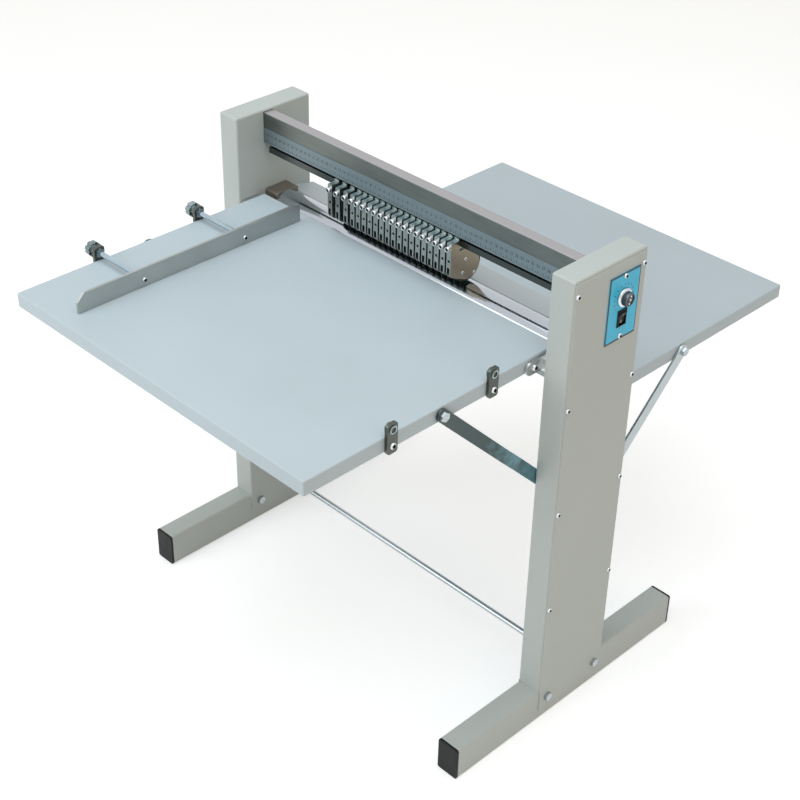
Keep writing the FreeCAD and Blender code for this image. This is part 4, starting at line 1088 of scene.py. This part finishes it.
def floor_material():
    """Pale floor that shows white where nothing shades it and keeps the object's shadow."""
    material = new_material("pale_floor", (0.86, 0.86, 0.86), 0.9)
    cloud = noise(material, FLOOR_CLOUD)
    set_surface(material, colour=blotched(material, cloud, (0.85, 0.85, 0.85, 1),
                                          (0.87, 0.87, 0.87, 1)))
    seen = seen_rays(material, "Is Glossy Ray")
    glow = add_node(material, "ShaderNodeEmission",
                    {"Color": WHITE,
                     "Strength": between(material, seen, 0.0, FLOOR_GLOW, 0.0, 1.0)})
    both = add_node(material, "ShaderNodeAddShader",
                    {0: shader_of(material).outputs[0], 1: glow.outputs[0]})
    tree = material.node_tree
    tree.links.new(both.outputs[0], tree.nodes["Material Output"].inputs["Surface"])
    return material


def white_surround(sky):
    """Even light of the given strength, which the camera and shiny pieces see as white."""
    world = bpy.data.worlds.new("studio")
    bpy.context.scene.world = world
    world.use_nodes = True
    tree = world.node_tree
    even = tree.nodes["Background"]
    even.inputs["Color"].default_value = SKY_COLOUR
    even.inputs["Strength"].default_value = sky
    white = add_node(world, "ShaderNodeBackground", {"Color": WHITE, "Strength": 1.0})
    mix = add_node(world, "ShaderNodeMixShader",
                   {0: seen_rays(world, "Is Transmission Ray", "Is Glossy Ray"),
                    1: even.outputs[0], 2: white.outputs[0]})
    tree.links.new(mix.outputs[0], tree.nodes["World Output"].inputs["Surface"])


def softbox(name, place, size, power, colour):
    lamp = bpy.data.lights.new(name, "AREA")
    lamp.shape = "RECTANGLE"
    lamp.size, lamp.size_y = size
    lamp.energy = power
    lamp.color = colour
    holder = bpy.data.objects.new(name, lamp)
    holder.location = place
    holder.rotation_euler = (AIM - Vector(place)).to_track_quat("-Z", "Y").to_euler()
    bpy.context.scene.collection.objects.link(holder)


class CREASER_OT_stage(bpy.types.Operator):
    """Set out the floor, the studio light and the camera"""
    bl_idname = "creaser.stage"
    bl_label = "Set out the stage"

    def execute(self, context):
        stage = context.scene.creaser_stage
        shape = bmesh.new()
        bmesh.ops.create_grid(shape, x_segments=1, y_segments=1, size=FLOOR_REACH)
        mesh = bpy.data.meshes.new("floor")
        shape.to_mesh(mesh)
        shape.free()
        floor = bpy.data.objects.new("floor", mesh)
        context.scene.collection.objects.link(floor)
        mesh.materials.append(floor_material())
        white_surround(stage.sky)
        for name, power, place, size, colour in SOFTBOXES:
            softbox(name, place, size, getattr(stage, power), colour)
        camera = bpy.data.objects.new("camera", bpy.data.cameras.new("camera"))
        camera.data.sensor_width = SENSOR_WIDTH
        camera.data.lens = stage.camera_lens
        camera.data.clip_end = VIEW_REACH
        turn = (Matrix.Rotation(stage.camera_heading, 4, "Z")
                @ Matrix.Rotation(math.pi / 2 - stage.camera_drop, 4, "X")
                @ Matrix.Rotation(stage.camera_roll, 4, "Z"))
        camera.matrix_world = Matrix.Translation(Vector(stage.camera_place)) @ turn
        context.scene.collection.objects.link(camera)
        context.scene.camera = camera
        context.scene.view_settings.view_transform = "Standard"
        return {"FINISHED"}


# Sidebar and registration

OPERATORS = (CREASER_OT_painted_sheet, CREASER_OT_beam, CREASER_OT_heads, CREASER_OT_drive,
             CREASER_OT_table_fittings, CREASER_OT_lay_guide, CREASER_OT_controls,
             CREASER_OT_stage)


class CREASER_PT_sidebar(bpy.types.Panel):
    """Colours, sizes and steps of the creasing machine"""
    bl_idname = "CREASER_PT_sidebar"
    bl_label = "Creasing machine"
    bl_space_type = "VIEW_3D"
    bl_region_type = "UI"
    bl_category = "Creaser"

    def draw(self, context):
        for group in (context.scene.creaser_colours, context.scene.creaser_sizes,
                      context.scene.creaser_stage):
            box = self.layout.box()
            for name in group.__annotations__:
                box.prop(group, name)
        for operator in OPERATORS:
            self.layout.operator(operator.bl_idname)


GROUPS = {"creaser_colours": CreaserColours, "creaser_sizes": CreaserSizes,
          "creaser_stage": CreaserStage}


def register():
    for name, group in GROUPS.items():
        bpy.utils.register_class(group)
        setattr(bpy.types.Scene, name, PointerProperty(type=group))
    for operator in OPERATORS:
        bpy.utils.register_class(operator)
    bpy.utils.register_class(CREASER_PT_sidebar)


def unregister():
    bpy.utils.unregister_class(CREASER_PT_sidebar)
    for operator in reversed(OPERATORS):
        bpy.utils.unregister_class(operator)
    for name, group in GROUPS.items():
        delattr(bpy.types.Scene, name)
        bpy.utils.unregister_class(group)


def main():
    register()
    bpy.ops.creaser.painted_sheet()
    bpy.ops.creaser.beam()
    bpy.ops.creaser.heads()
    bpy.ops.creaser.drive()
    bpy.ops.creaser.table_fittings()
    bpy.ops.creaser.lay_guide()
    bpy.ops.creaser.controls()
    bpy.ops.creaser.stage()


if __name__ == "__main__":
    main()
